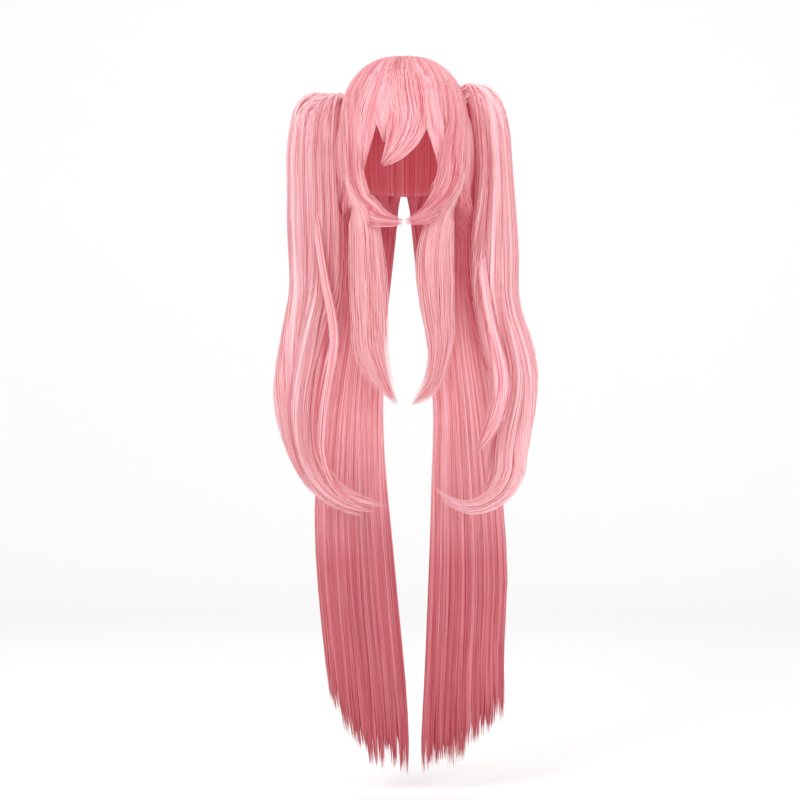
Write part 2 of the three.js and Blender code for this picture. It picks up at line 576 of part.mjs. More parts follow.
// Where the back hair leaves the crown, and its stations on the way down there
const BACK_ON_CROWN = [
  { along: 0.0, wide: 0.45, thick: 0.2, lift: -0.17 },
  { along: 0.16, wide: 0.8, thick: 0.3, lift: -0.08 },
  { along: 0.42, wide: 1.0, thick: 0.42, lift: 0 },
  { along: 0.7, wide: 1.05, thick: 0.54, lift: 0 },
  { along: 1.0, wide: 1.0, thick: 0.64, lift: 0 },
];
const NAPE_DOWN = 0.76;
const BACK_LOCK_ON_CROWN = 40;
const BACK_LOCK_OVERLAP = 1.32;
const BACK_RINGS = 14;

function backLock(back, lock, grow) {
  const onHead = BACK_ON_CROWN.map((row) => {
    const down = THREE.MathUtils.lerp(lock.start, NAPE_DOWN, row.along);
    const around = back.side * lock.around;
    return onCrown({ ...row, down, around }, BACK_LOCK_ON_CROWN, BACK_LOCK_THICKNESS);
  });
  const hanging = back.hang.map((row) => {
    const fall = -HEAD_HEIGHT - row.drop * BACK_HAIR_HANG * lock.end;
    const edge = (across, behind) =>
      new THREE.Vector3(back.side * across * CROWN_HALF_WIDTH, behind * CROWN_HALF_DEPTH, fall);
    const inner = edge(row.inner, row.inBack);
    const spread = edge(row.outer, row.outBack).sub(inner);
    const facing = new THREE.Vector3(-back.side * spread.y, back.side * spread.x, 0).normalize();
    const bow = row.bow * spread.length() * 4 * lock.share * (1 - lock.share);
    return station(
      inner.addScaledVector(spread, lock.share).addScaledVector(facing, bow),
      facing,
      (BACK_LOCK_OVERLAP * row.wide * spread.length()) / back.locks.length,
      row.thick * BACK_LOCK_THICKNESS,
    );
  });
  return lockSolid([...onHead, ...hanging], grow, { clings: onHead.length, rings: BACK_RINGS });
}

const backSolid = (back, grow) => joined(back.locks.map((lock) => backLock(back, lock, grow)));

// The pieces in the order in which each keeps clear of those before it
const PIECES = [
  { name: "crown", colour: COLOURS.crown, make: crownSolid },
  { name: "clip_right", colour: COLOURS.clip, make: (grow) => clipSolid(PIGTAIL_RIGHT, grow) },
  { name: "clip_left", colour: COLOURS.clip, make: (grow) => clipSolid(PIGTAIL_LEFT, grow) },
  { name: "fringe_middle", colour: COLOURS.fringe, make: fringeLock(FRINGE_MIDDLE) },
  { name: "fringe_wisp", colour: COLOURS.fringe, make: fringeLock(FRINGE_WISP) },
  { name: "fringe_right", colour: COLOURS.fringe, make: fringeLock(FRINGE_RIGHT) },
  { name: "fringe_left", colour: COLOURS.fringe, make: fringeLock(FRINGE_LEFT) },
  { name: "cheek_lock_right", colour: COLOURS.fringe, make: cheekLock(CHEEK_RIGHT) },
  { name: "cheek_lock_left", colour: COLOURS.fringe, make: cheekLock(CHEEK_LEFT) },
  { name: "forelock_right", colour: COLOURS.fringe, make: forelock(FORELOCK_RIGHT) },
  { name: "forelock_left", colour: COLOURS.fringe, make: forelock(FORELOCK_LEFT) },
  { name: "pigtail_right", colour: COLOURS.pigtail, make: (grow) => pigtailSolid(PIGTAIL_RIGHT, grow) },
  { name: "pigtail_left", colour: COLOURS.pigtail, make: (grow) => pigtailSolid(PIGTAIL_LEFT, grow) },
  { name: "back_hair_right", colour: COLOURS.back, make: (grow) => backSolid(BACK_RIGHT, grow) },
  { name: "back_hair_left", colour: COLOURS.back, make: (grow) => backSolid(BACK_LEFT, grow) },
];

const wig = new THREE.Group();
let keepOut = formSolid(headSize(0), HEAD_AROUND, HEAD_DOWN);
for (const piece of PIECES) {
  const whole = piece.make(0);
  const solid = largestBody(piece.name === "crown" ? whole : whole.subtract(keepOut));
  const material = new THREE.MeshStandardMaterial({ color: piece.colour, roughness: 0.45, metalness: 0 });
  const mesh = new THREE.Mesh(geometryOf(solid), material);
  mesh.name = piece.name;
  wig.add(mesh);
  keepOut = keepOut.add(whole).add(piece.make(GAP));
}

export default wig;
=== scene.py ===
import math

import bpy
import numpy as np
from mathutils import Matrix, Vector


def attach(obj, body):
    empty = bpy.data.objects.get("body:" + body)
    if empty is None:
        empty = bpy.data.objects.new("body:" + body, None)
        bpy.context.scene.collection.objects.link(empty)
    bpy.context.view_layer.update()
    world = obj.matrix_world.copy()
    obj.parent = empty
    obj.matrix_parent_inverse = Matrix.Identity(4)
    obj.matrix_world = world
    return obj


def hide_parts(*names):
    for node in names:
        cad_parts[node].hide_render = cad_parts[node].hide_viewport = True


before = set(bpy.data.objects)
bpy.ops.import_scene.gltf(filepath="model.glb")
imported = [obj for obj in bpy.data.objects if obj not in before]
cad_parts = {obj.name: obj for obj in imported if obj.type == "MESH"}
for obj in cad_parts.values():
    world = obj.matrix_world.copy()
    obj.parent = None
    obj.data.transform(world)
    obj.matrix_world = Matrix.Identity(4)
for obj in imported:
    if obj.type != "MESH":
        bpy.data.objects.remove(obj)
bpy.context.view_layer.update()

MM = 0.001

# The sizes of the wig's solids, in metres
HEAD_WIDTH = 152 * MM
HEAD_DEPTH = 190 * MM
HEAD_HEIGHT = 222 * MM
HAIR_ON_TOP = 12 * MM
HAIR_AT_SIDES = 15 * MM
HAIR_FRONT_AND_BACK = 12 * MM
BACK_HAIR_HANG = 776 * MM
FORELOCK_HANG = 255 * MM
FRINGE_SIZE = (68 * MM, 11 * MM)
CHEEK_SIZE = (45 * MM, 12 * MM)
FORELOCK_SIZE = (38 * MM, 18 * MM)
BACK_LOCK_SIZE = (40 * MM, 30 * MM)
PIGTAIL_LENGTH = 560 * MM
PIGTAIL_REACH = 54.5 * MM
PIGTAIL_SIZE = (77 * MM, 56 * MM)
FACE_WINDOW_WIDTH = 112 * MM
HAIRLINE_DROP = 50 * MM
RIM_DROP_AT_FACE = 150 * MM
RIM_DROP_AT_NAPE = 178 * MM
CROWN_HALF_WIDTH = HEAD_WIDTH / 2 + HAIR_AT_SIDES
CROWN_HALF_DEPTH = HEAD_DEPTH / 2 + HAIR_FRONT_AND_BACK
# The least half size of a lock
TIP = 1.2 * MM
# How far down the head the back hair leaves it, and how much its locks overlap
NAPE_DOWN = 0.76
BACK_LOCK_OVERLAP = 1.32
# The power of the head's level sections, where 2 is an ellipse
SQUARENESS = 2.2
FORWARD = np.array([0.0, -1.0, 0.0])


def table(names, rows):
    """A table with named columns."""
    return dict(zip(names.split(), np.array(rows, float).T))


def column(values, t):
    """Values of a column at shares t of its length, passing smoothly through the rows."""
    t = np.clip(np.asarray(t, float), 0, 1) * (len(values) - 1)
    i = np.minimum(t.astype(int), len(values) - 2)
    f = t - i
    near = [values[np.clip(i + k, 0, len(values) - 1)] for k in (-1, 0, 1, 2)]
    if values.ndim > 1:
        f = f[..., None]
    leave, arrive = (near[2] - near[0]) / 2, (near[3] - near[1]) / 2
    cubic = 2 * near[1] - 2 * near[2] + leave + arrive
    square = 3 * (near[2] - near[1]) - 2 * leave - arrive
    return ((cubic * f + square) * f + leave) * f + near[1]


HEAD_FORM = table(
    "down wide front back",
    [
        (0.0, 0.0, 0.0, 0.0),
        (0.03, 0.42, 0.42, 0.42),
        (0.1, 0.69, 0.68, 0.7),
        (0.2, 0.87, 0.87, 0.88),
        (0.32, 0.96, 0.96, 0.97),
        (0.47, 1.0, 1.0, 1.0),
        (0.62, 0.99, 1.0, 0.95),
        (0.77, 0.93, 0.98, 0.82),
        (0.9, 0.78, 0.93, 0.7),
        (0.98, 0.5, 0.8, 0.5),
        (1.0, 0.0, 0.0, 0.0),
    ],
)
FORM_STEPS = 801
FORM_SHARES = np.linspace(0, 1, FORM_STEPS)
FORM_DOWN = np.maximum.accumulate(column(HEAD_FORM["down"], FORM_SHARES))


def form_share(down):
    return np.interp(down, FORM_DOWN, FORM_SHARES)


def head_size(grow):
    return HEAD_WIDTH / 2 + grow, HEAD_DEPTH / 2 + grow, HEAD_HEIGHT + 2 * grow, grow


def crown_size(grow):
    height = HEAD_HEIGHT + HAIR_ON_TOP + 2 * grow
    return CROWN_HALF_WIDTH + grow, CROWN_HALF_DEPTH + grow, height, HAIR_ON_TOP + grow


def form_depth(share, forwards, half_depth):
    """How deep the head form is, forwards or backwards."""
    front, back = column(HEAD_FORM["front"], share), column(HEAD_FORM["back"], share)
    return np.where(forwards, front, back) * half_depth


def form_point(share, turn, size):
    """Points on the head form. The turn goes round from the face towards +X."""
    half_width, half_depth, height, top = size

    def curve(v):
        return np.sign(v) * np.abs(v) ** (2 / SQUARENESS)

    depth = form_depth(share, np.cos(turn) > 0, half_depth)
    x = column(HEAD_FORM["wide"], share) * half_width * curve(np.sin(turn))
    z = top - column(HEAD_FORM["down"], share) * height
    return np.stack(np.broadcast_arrays(x, -depth * curve(np.cos(turn)), z), -1)


# Hair this far out at the sides doesn't follow the last share of the form in under the jaw
SIDE_HAIR_FROM, SIDE_HAIR_FADE = 60 * MM, 20 * MM
JAW_SHARE = 0.14


def settled(points, lift):
    """The points moved straight towards the crown's form, or out from it by a lift."""
    half_width, half_depth, height, top = crown_size(lift)

    def uncurve(v):
        return np.sign(v) * np.abs(v) ** (SQUARENESS / 2)

    down = np.clip((top - points[..., 2]) / height, 0, 1)
    aside = np.clip((np.abs(points[..., 0]) - SIDE_HAIR_FROM) / SIDE_HAIR_FADE, 0, 1)
    limit = 1 - JAW_SHARE * aside
    share = form_share(np.minimum(down, limit))
    turn = np.arctan2(uncurve(points[..., 0] / half_width), uncurve(-points[..., 1] / half_depth))
    placed = form_point(share, turn, (half_width, half_depth, height, top))
    placed[..., 2] -= np.maximum(down - limit, 0) * height
    return placed


# Hair is moved out of the head down to the chin, less and less over the fade, but not from its middle
HAIR_CLEAR = 3 * MM
CHIN_DOWN, CHIN_FADE = 0.97, 0.15
HEAD_MIDDLE = 0.2


def outside_head(points, clear):
    """The points, with those inside the head form moved level out to it and a little clear."""
    half_width, half_depth, height, top = head_size(clear)
    down = (top - points[..., 2]) / height
    share = form_share(np.clip(down, 0, 1))
    wide = np.maximum(column(HEAD_FORM["wide"], share) * half_width, 1e-6)
    deep = np.maximum(form_depth(share, points[..., 1] < 0, half_depth), 1e-6)
    reach = np.abs(points[..., 0] / wide) ** SQUARENESS + np.abs(points[..., 1] / deep) ** SQUARENESS
    reach = np.maximum(reach, 1e-9) ** (1 / SQUARENESS)
    inside = (reach < 1) & (down > 0) & (down < CHIN_DOWN) & (reach > HEAD_MIDDLE)
    fade = np.clip((CHIN_DOWN - down) / CHIN_FADE, 0, 1)
    scale = np.where(inside, 1 + (1 / reach - 1) * fade, 1.0)
    return points * np.stack([scale, scale, np.ones_like(scale)], -1)


def unit(v):
    """The same directions at length 1."""
    return v / np.maximum(np.linalg.norm(v, axis=-1, keepdims=True), 1e-12)


def curve_points(points, t):
    """Points and tangents at shares t of a centripetal Catmull-Rom curve."""
    points = np.asarray(points, float)
    ends = np.vstack([2 * points[0] - points[1], points, 2 * points[-1] - points[-2]])
    t = np.clip(t, 0, 1) * (len(points) - 1)
    i = np.minimum(t.astype(int), len(points) - 2)
    p = [ends[i + k] for k in range(4)]
    gaps = [np.linalg.norm(p[k + 1] - p[k], axis=-1) for k in range(3)]
    step = [np.maximum(gap, 1e-9)[:, None] ** 0.5 for gap in gaps]

    def slope(a, b, c, before, after):
        return (b - a) / before - (c - a) / (before + after) + (c - b) / after

    leave = slope(p[0], p[1], p[2], step[0], step[1]) * step[1]
    arrive = slope(p[1], p[2], p[3], step[1], step[2]) * step[1]
    f = (t - i)[:, None]
    cubic = 2 * p[1] - 2 * p[2] + leave + arrive
    square = 3 * (p[2] - p[1]) - 2 * leave - arrive
    at = ((cubic * f + square) * f + leave) * f + p[1]
    return at, unit((3 * cubic * f + 2 * square) * f + leave)


FINE_STATIONS = 241
END_TAPER = 5


class Lock:
    """The form of one lock, from stations with places, facings, widths and thicknesses. The first
    "clings" stations lie on the crown and bend their breadth round it. A lock with an end below 1
    stops at that share of its stations."""

    def __init__(self, at, facing, wide, thick, lift=None, clings=0, end=1.0):
        self.fine = np.linspace(0, 1, FINE_STATIONS)
        shares = self.fine * end
        self.places, tangents = curve_points(at, shares)
        self.sides = unit(np.cross(column(facing, shares), tangents))
        self.outs = np.cross(tangents, self.sides)
        taper = np.minimum(1, np.sqrt((1 - self.fine) * end * END_TAPER)) if end < 1 else 1.0
        self.half_wide = np.maximum(TIP, column(wide, shares) / 2 * taper)
        self.half_thick = np.maximum(TIP, column(thick, shares) / 2 * taper)
        self.lifts = column(np.zeros(len(wide)) if lift is None else lift, shares)
        self.clings = clings
        self.hold = np.clip(clings - shares * (len(wide) - 1), 0, 1)
        self.length = float(np.linalg.norm(np.diff(self.places, axis=0), axis=-1).sum())
        # How the hair gathers at its start, how far its end leans, how it turns, and how much lighter or
        # darker it is painted for the light and shade on it
        self.gather, self.lean, self.turns, self.shade = None, 0.0, None, 0.0

    def twist(self, t):
        """How far the hairs have turned round the lock at shares t of it, in radians."""
        return column(self.turns, t) if self.turns is not None else 0.0

    def read(self, values, t):
        """Fine values of the lock at shares t of it."""
        where = np.clip(t, 0, 1) * (len(self.fine) - 1)
        i = np.minimum(where.astype(int), len(self.fine) - 2)
        f = where - i
        if values.ndim > 1:
            f = f[..., None]
        return values[i] * (1 - f) + values[i + 1] * f

    def place(self, t, across, through):
        """Points at shares t of the lock, across and through it in shares of its half sizes."""
        half_wide, half_thick = self.read(self.half_wide, t), self.read(self.half_thick, t)
        at = self.read(self.places, t) + self.read(self.sides, t) * (across * half_wide)[..., None]
        free = at + self.read(self.outs, t) * (through * half_thick)[..., None]
        hold = self.read(self.hold, t)
        if self.clings:
            bent = settled(at, self.read(self.lifts, t) + through * half_thick)
            free = free * (1 - hold[..., None]) + bent * hold[..., None]
            free = outside_head(free, HAIR_CLEAR)
        return free


def on_crown(rows, width, thickness):
    """Stations on the hair of the crown, shares down the head and turns in degrees from the face."""
    turn = np.radians(rows["around"])
    lift = rows.get("lift", np.zeros(len(turn))) * HAIR_ON_TOP
    places = [
        form_point(form_share(down), around, crown_size(high))
        for down, around, high in zip(rows["down"], turn, lift)
    ]
    at = np.array(places)
    facing = at / np.array([CROWN_HALF_WIDTH**2, CROWN_HALF_DEPTH**2, 1])
    facing[:, 2] = 0
    return at, unit(facing), rows["wide"] * width, rows["thick"] * thickness, lift


def crown_lock(head, size, hang=None):
    """A lock on the head that may go on hanging below it."""
    at, facing, wide, thick, lift = on_crown(head, *size)
    if hang is not None:
        x, y = hang["across"] * CROWN_HALF_WIDTH, -hang["front"] * CROWN_HALF_DEPTH
        z = -HEAD_HEIGHT - hang["drop"] * FORELOCK_HANG
        at = np.vstack([at, np.stack([x, y, z], -1)])
        facing = np.vstack([facing, np.tile(FORWARD, (len(z), 1))])
        wide = np.concatenate([wide, hang["wide"] * size[0]])
        thick = np.concatenate([thick, hang["thick"] * size[1]])
        lift = np.concatenate([lift, np.zeros(len(z))])
    return Lock(at, facing, wide, thick, lift, clings=len(head["down"]))


ON_HEAD = "down around wide thick lift"
HANGING = "drop across front wide thick"
FRINGE_MIDDLE = table(
    ON_HEAD,
    [
        (0.075, 0.0, 0.60, 0.50, -0.25),
        (0.187, -0.5, 0.88, 0.90, 0),
        (0.310, 1.0, 1.00, 1.00, 0),
        (0.400, 2.5, 0.92, 1.00, 0),
        (0.480, 1.2, 0.80, 1.00, 0),
        (0.550, -2.0, 0.66, 0.95, 0),
        (0.610, -7.0, 0.47, 0.80, -0.17),
        (0.660, -13.0, 0.28, 0.60, -0.25),
        (0.700, -19.5, 0.08, 0.30, -0.33),
    ],
)
FRINGE_WISP = table(
    ON_HEAD,
    [
        (0.089, -13.1, 0.40, 0.50, -0.25),
        (0.248, -14.1, 0.48, 0.90, 0),
        (0.349, -16.7, 0.44, 0.95, 0),
        (0.425, -17.1, 0.30, 0.80, 0),
        (0.494, -16.8, 0.14, 0.60, -0.17),
        (0.565, -16.1, 0.04, 0.30, -0.33),
    ],
)
FRINGE_RIGHT = table(
    ON_HEAD,
    [
        (0.100, -26.1, 0.44, 0.50, -0.25),
        (0.242, -28.3, 0.56, 0.90, 0),
        (0.371, -33.2, 0.62, 1.00, 0),
        (0.476, -35.1, 0.52, 0.90, 0),
        (0.576, -37.0, 0.40, 0.70, 0),
        (0.720, -42.0, 0.16, 0.40, -0.08),
    ],
)
FRINGE_LEFT = table(
    ON_HEAD,
    [
        (0.100, 26.1, 0.28, 0.50, -0.25),
        (0.286, 24.1, 0.40, 0.90, 0),
        (0.405, 24.7, 0.43, 0.90, 0),
        (0.493, 26.7, 0.38, 0.70, 0),
        (0.579, 30.0, 0.26, 0.60, -0.17),
        (0.700, 34.0, 0.12, 0.30, -0.25),
    ],
)
CHEEK_RIGHT = (
    table(
        ON_HEAD,
        [
            (0.135, -57.5, 0.48, 0.50, -0.25),
            (0.263, -58.2, 0.81, 0.90, 0),
            (0.416, -53.4, 0.96, 1.00, 0),
            (0.564, -51.1, 1.02, 1.00, 0),
            (0.697, -53.0, 0.93, 1.00, 0),
            (0.847, -54.7, 0.90, 0.90, 0),
            (0.917, -53.6, 0.81, 0.80, 0),
        ],
    ),
    table(
        HANGING,
        [
            (-0.024, -0.455, 0.77, 0.6, 0.6),
            (-0.002, -0.299, 0.81, 0.39, 0.5),
            (0.013, -0.134, 0.84, 0.24, 0.4),
            (0.017, -0.01, 0.85, 0.12, 0.3),
        ],
    ),
)
CHEEK_LEFT = (
    table(
        ON_HEAD,
        [
            (0.147, 50.4, 0.48, 0.50, -0.25),
            (0.269, 50.6, 0.81, 0.90, 0),
            (0.417, 51.8, 0.96, 1.00, 0),
            (0.565, 48.8, 1.17, 1.00, 0),
            (0.686, 49.8, 1.24, 1.00, 0),
            (0.794, 51.2, 1.20, 0.95, 0),
            (0.892, 45.6, 0.86, 0.80, 0),
        ],
    ),
    table(
        HANGING,
        [
            (-0.034, 0.389, 0.79, 0.48, 0.6),
            (0.0, 0.179, 0.83, 0.27, 0.45),
            (0.016, 0.01, 0.85, 0.12, 0.3),
        ],
    ),
)
ON_CHEEK = "down around wide thick"
FORELOCK_RIGHT = (
    table(ON_CHEEK, [(0.66, -58, 0.6, 0.5), (0.8, -58, 0.8, 0.8)]),
    table(
        HANGING,
        [
            (0.0, -0.6, 0.66, 0.85, 0.95),
            (0.2, -0.55, 0.66, 0.92, 1.0),
            (0.38, -0.52, 0.64, 0.92, 0.95),
            (0.54, -0.505, 0.62, 0.8, 0.85),
            (0.68, -0.485, 0.6, 0.7, 0.7),
            (0.8, -0.4, 0.6, 0.52, 0.55),
            (0.91, -0.26, 0.6, 0.3, 0.4),
            (0.99, -0.1, 0.6, 0.08, 0.15),
        ],
    ),
)
FORELOCK_LEFT = (
    table(ON_CHEEK, [(0.64, 60, 0.6, 0.5), (0.78, 60, 0.8, 0.8)]),
    table(
        HANGING,
        [
            (-0.01, 0.55, 0.66, 0.85, 0.95),
            (0.19, 0.46, 0.68, 1.0, 1.0),
            (0.34, 0.475, 0.66, 0.95, 0.95),
            (0.5, 0.505, 0.63, 0.75, 0.85),
            (0.62, 0.545, 0.61, 0.6, 0.7),
            (0.73, 0.525, 0.6, 0.45, 0.6),
            (0.86, 0.44, 0.6, 0.36, 0.5),
            (0.93, 0.3, 0.6, 0.28, 0.4),
            (0.99, 0.11, 0.6, 0.08, 0.15),
        ],
    ),
)

GUIDE = "out fall front wide deep"
TAIL_LOCK = "across through wide deep end stray"
LOOSE_LOCK = "x y z wide thick"
PIGTAIL_RIGHT = {
    "side": -1,
    "loose": table(
        LOOSE_LOCK,
        [
            (-128, -14, -170, 8, 7),
            (-120, -30, -235, 10, 8),
            (-109, -46, -305, 11, 8),
            (-99, -56, -355, 12, 8),
            (-96, -62, -389, 11, 8),
            (-100, -65, -423, 10, 7),
            (-106, -68, -462, 9, 7),
            (-110, -70, -503, 9, 7),
            (-111, -72, -537, 9, 7),
            (-103, -72, -571, 9, 7),
            (-84, -72, -599, 8, 6),
            (-49, -70, -617, 4, 3),
        ],
    ),
    "clip": (0.3, 92),
    "guide": table(
        GUIDE,
        [
            (-0.11, -0.002, 0.0, 0.42, 0.5),
            (0.16, -0.007, 0.0, 0.49, 0.56),
            (0.49, -0.002, 0.003, 0.59, 0.66),
            (0.73, 0.022, 0.006, 0.76, 0.78),
            (0.73, 0.07, 0.01, 0.89, 0.88),
            (0.74, 0.133, 0.013, 0.95, 0.96),
            (0.71, 0.208, 0.017, 0.96, 1.0),
            (0.68, 0.296, 0.02, 1.0, 1.0),
            (0.65, 0.388, 0.025, 0.96, 1.0),
            (0.65, 0.466, 0.03, 0.94, 1.0),
            (0.76, 0.538, 0.035, 0.96, 1.0),
            (0.87, 0.613, 0.04, 1.0, 1.0),
            (0.98, 0.683, 0.044, 1.01, 0.98),
            (1.03, 0.747, 0.047, 0.94, 0.94),
            (1.0, 0.812, 0.05, 0.79, 0.86),
            (0.89, 0.871, 0.054, 0.64, 0.76),
            (0.63, 0.925, 0.058, 0.58, 0.62),
            (0.25, 0.966, 0.06, 0.51, 0.5),
            (-0.2, 0.99, 0.062, 0.46, 0.42),
            (-0.7, 1.002, 0.062, 0.36, 0.3),
            (-1.19, 1.0, 0.06, 0.1, 0.1),
        ],
    ),
    "locks": table(
        TAIL_LOCK,
        [
            (-1.0, 0.4, 0.37, 0.6, 1.0, 0),
            (0.02, 0.75, 0.38, 0.6, 0.97, 0.03),
            (1.0, 0.35, 0.37, 0.58, 0.82, 0.04),
            (0.5, -0.7, 0.44, 0.56, 0.94, 0.08),
            (-0.5, -0.7, 0.44, 0.56, 0.9, 0),
            (-1.35, -0.5, 0.34, 0.5, 0.6, 0.2),
        ],
    ),
}
PIGTAIL_LEFT = {
    "side": 1,
    "loose": table(
        LOOSE_LOCK,
        [
            (106, -4, -230, 8, 6),
            (109, -22, -290, 12, 8),
            (116, -36, -345, 14, 9),
            (126, -46, -392, 17, 9),
            (133, -52, -430, 19, 9),
            (133, -56, -463, 20, 9),
            (126, -58, -493, 18, 8),
            (113, -58, -520, 13, 7),
            (96, -58, -545, 4, 3),
        ],
    ),
    "clip": (0.235, 96),
    "guide": table(
        GUIDE,
        [
            (-0.14, 0.001, 0.0, 0.42, 0.5),
            (0.11, -0.003, 0.0, 0.49, 0.56),
            (0.39, 0.004, 0.003, 0.61, 0.66),
            (0.61, 0.028, 0.006, 0.65, 0.78),
            (0.74, 0.083, 0.01, 0.64, 0.88),
            (0.81, 0.158, 0.013, 0.63, 0.96),
            (0.83, 0.234, 0.017, 0.68, 1.0),
            (0.82, 0.322, 0.02, 0.79, 1.0),
            (0.82, 0.41, 0.025, 0.85, 1.0),
            (0.83, 0.49, 0.03, 0.81, 1.0),
            (0.96, 0.56, 0.035, 0.79, 1.0),
            (1.15, 0.622, 0.04, 0.83, 0.98),
            (1.31, 0.69, 0.044, 0.79, 0.96),
            (1.29, 0.759, 0.047, 0.77, 0.92),
            (1.14, 0.834, 0.05, 0.79, 0.86),
            (1.07, 0.889, 0.054, 0.75, 0.76),
            (1.04, 0.938, 0.058, 0.7, 0.64),
            (0.81, 0.983, 0.06, 0.58, 0.54),
            (0.39, 1.01, 0.062, 0.46, 0.42),
            (0.0, 1.015, 0.062, 0.34, 0.32),
            (-0.4, 0.997, 0.06, 0.2, 0.2),
            (-0.72, 0.976, 0.06, 0.05, 0.08),
        ],
    ),
    "locks": table(
        TAIL_LOCK,
        [
            (-1.0, 0.4, 0.37, 0.6, 0.77, -0.12),
            (0.02, 0.75, 0.38, 0.6, 0.98, 0),
            (1.0, 0.35, 0.37, 0.58, 0.96, 0.04),
            (0.5, -0.7, 0.44, 0.56, 1.0, 0),
            (-0.5, -0.7, 0.44, 0.56, 0.84, -0.06),
            (-1.7, -0.5, 0.6, 0.5, 0.74, 0.1),
        ],
    ),
}

TAIL_SEED, TAIL_TURNS = 7, 1.3
# How much lighter the outer locks of a pigtail are painted than the inner ones, which lie in the head's
# shade, and the painted shades of its last lock, which fills it behind in the shade, and of its loose lock,
# which stands out in the light
ASIDE_SHADE, FILL_SHADE, LOOSE_SHADE = 0.12, -0.5, -0.3


def pigtail_locks(tail):
    """The locks of a pigtail, each beside its guide curve by what its row says, and its loose lock."""
    down, around = tail["clip"]
    side, guide, loose = tail["side"], tail["guide"], tail["loose"]
    clip = form_point(form_share(down), math.radians(side * around), crown_size(0))
    away = [side * guide["out"] * PIGTAIL_REACH, -guide["front"] * PIGTAIL_LENGTH]
    points = clip + np.stack([*away, -guide["fall"] * PIGTAIL_LENGTH], -1)
    shares = np.linspace(0, 1, len(points))
    centres, tangents = curve_points(points, shares)
    across = unit(np.cross(tangents, FORWARD))
    wide, deep = guide["wide"] * PIGTAIL_SIZE[0], guide["deep"] * PIGTAIL_SIZE[1]
    made = []
    rng = np.random.default_rng(TAIL_SEED)
    for i in range(len(tail["locks"]["end"])):
        lock = {name: values[i] for name, values in tail["locks"].items()}
        astray = lock["stray"] * PIGTAIL_SIZE[0] * (shares / lock["end"]) ** 3
        shift = lock["across"] * (1 - lock["wide"]) * wide / 2 + astray
        forward = lock["through"] * (1 - lock["deep"]) * deep / 2
        at = centres - across * (side * shift)[:, None] + FORWARD * forward[:, None]
        facing = np.tile(FORWARD, (len(at), 1))
        made.append(Lock(at, facing, lock["wide"] * wide, lock["deep"] * deep, end=lock["end"]))
        made[-1].gather = gathered(clip, side, rng)
        made[-1].turns = rng.uniform(-TAIL_TURNS, TAIL_TURNS, 6)
        made[-1].shade = ASIDE_SHADE * lock["across"]
    made[-1].shade = FILL_SHADE
    at = np.stack([loose["x"], loose["y"], loose["z"]], -1) * MM
    made.append(Lock(at, np.tile(FORWARD, (len(at), 1)), loose["wide"] * MM, loose["thick"] * MM))
    made[-1].shade = LOOSE_SHADE
    return made


BACK_HANG = "drop inner outer in_back out_back bow wide thick"
BACK_RIGHT = {
    "side": -1,
    "hang": table(
        BACK_HANG,
        [
            (0.0, 0.04, 0.96, 0.84, -0.05, 0.28, 1.0, 0.8),
            (0.115, 0.2, 0.97, 0.8, 0.1, 0.22, 1.0, 0.85),
            (0.207, 0.31, 1.06, 0.74, 0.28, 0.14, 1.0, 0.9),
            (0.317, 0.335, 1.23, 0.68, 0.4, 0.07, 1.0, 0.95),
            (0.445, 0.285, 1.35, 0.63, 0.46, 0.03, 1.0, 0.9),
            (0.574, 0.18, 1.41, 0.6, 0.48, 0.0, 1.0, 0.85),
            (0.703, 0.075, 1.37, 0.58, 0.5, 0.0, 1.0, 0.8),
            (0.831, -0.03, 1.27, 0.57, 0.5, 0.0, 1.0, 0.7),
            (0.941, -0.09, 1.18, 0.56, 0.5, 0.0, 0.98, 0.5),
            (1.0, -0.09, 1.1, 0.56, 0.5, 0.0, 0.9, 0.3),
        ],
    ),
    "locks": table(
        "share around start end",
        [
            (0.115, 167, 0.03, 1.0),
            (0.27, 148, 0.04, 0.985),
            (0.425, 128, 0.03, 0.992),
            (0.575, 109, 0.05, 0.96),
            (0.73, 90, 0.39, 0.94),
            (0.885, 71, 0.42, 0.89),
        ],
    ),
}
BACK_LEFT = {
    "side": 1,
    "hang": table(
        BACK_HANG,
        [
            (0.0, 0.04, 1.02, 0.84, -0.05, 0.28, 1.0, 0.8),
            (0.115, 0.2, 1.07, 0.8, 0.12, 0.22, 1.0, 0.85),
            (0.207, 0.36, 1.17, 0.74, 0.3, 0.14, 1.0, 0.9),
            (0.317, 0.465, 1.32, 0.68, 0.4, 0.07, 1.0, 0.95),
            (0.445, 0.435, 1.46, 0.63, 0.46, 0.03, 1.0, 0.9),
            (0.574, 0.405, 1.57, 0.6, 0.48, 0.0, 1.0, 0.85),
            (0.703, 0.36, 1.62, 0.58, 0.5, 0.0, 1.0, 0.8),
            (0.831, 0.31, 1.57, 0.57, 0.5, 0.0, 1.0, 0.7),
            (0.941, 0.26, 1.58, 0.56, 0.5, 0.0, 0.98, 0.5),
            (1.0, 0.26, 1.56, 0.56, 0.5, 0.0, 0.9, 0.3),
        ],
    ),
    "locks": table(
        "share around start end",
        [
            (0.115, 167, 0.03, 0.997),
            (0.27, 148, 0.04, 0.98),
            (0.425, 128, 0.03, 0.985),
            (0.575, 109, 0.05, 0.955),
            (0.73, 90, 0.34, 0.938),
            (0.885, 71, 0.4, 0.915),
        ],
    ),
}
BACK_ON_CROWN = table(
    "along wide thick lift",
    [
        (0.0, 0.45, 0.2, -0.17),
        (0.16, 0.8, 0.3, -0.08),
        (0.42, 1.0, 0.42, 0),
        (0.7, 1.05, 0.54, 0),
        (1.0, 1.0, 0.64, 0),
    ],
)


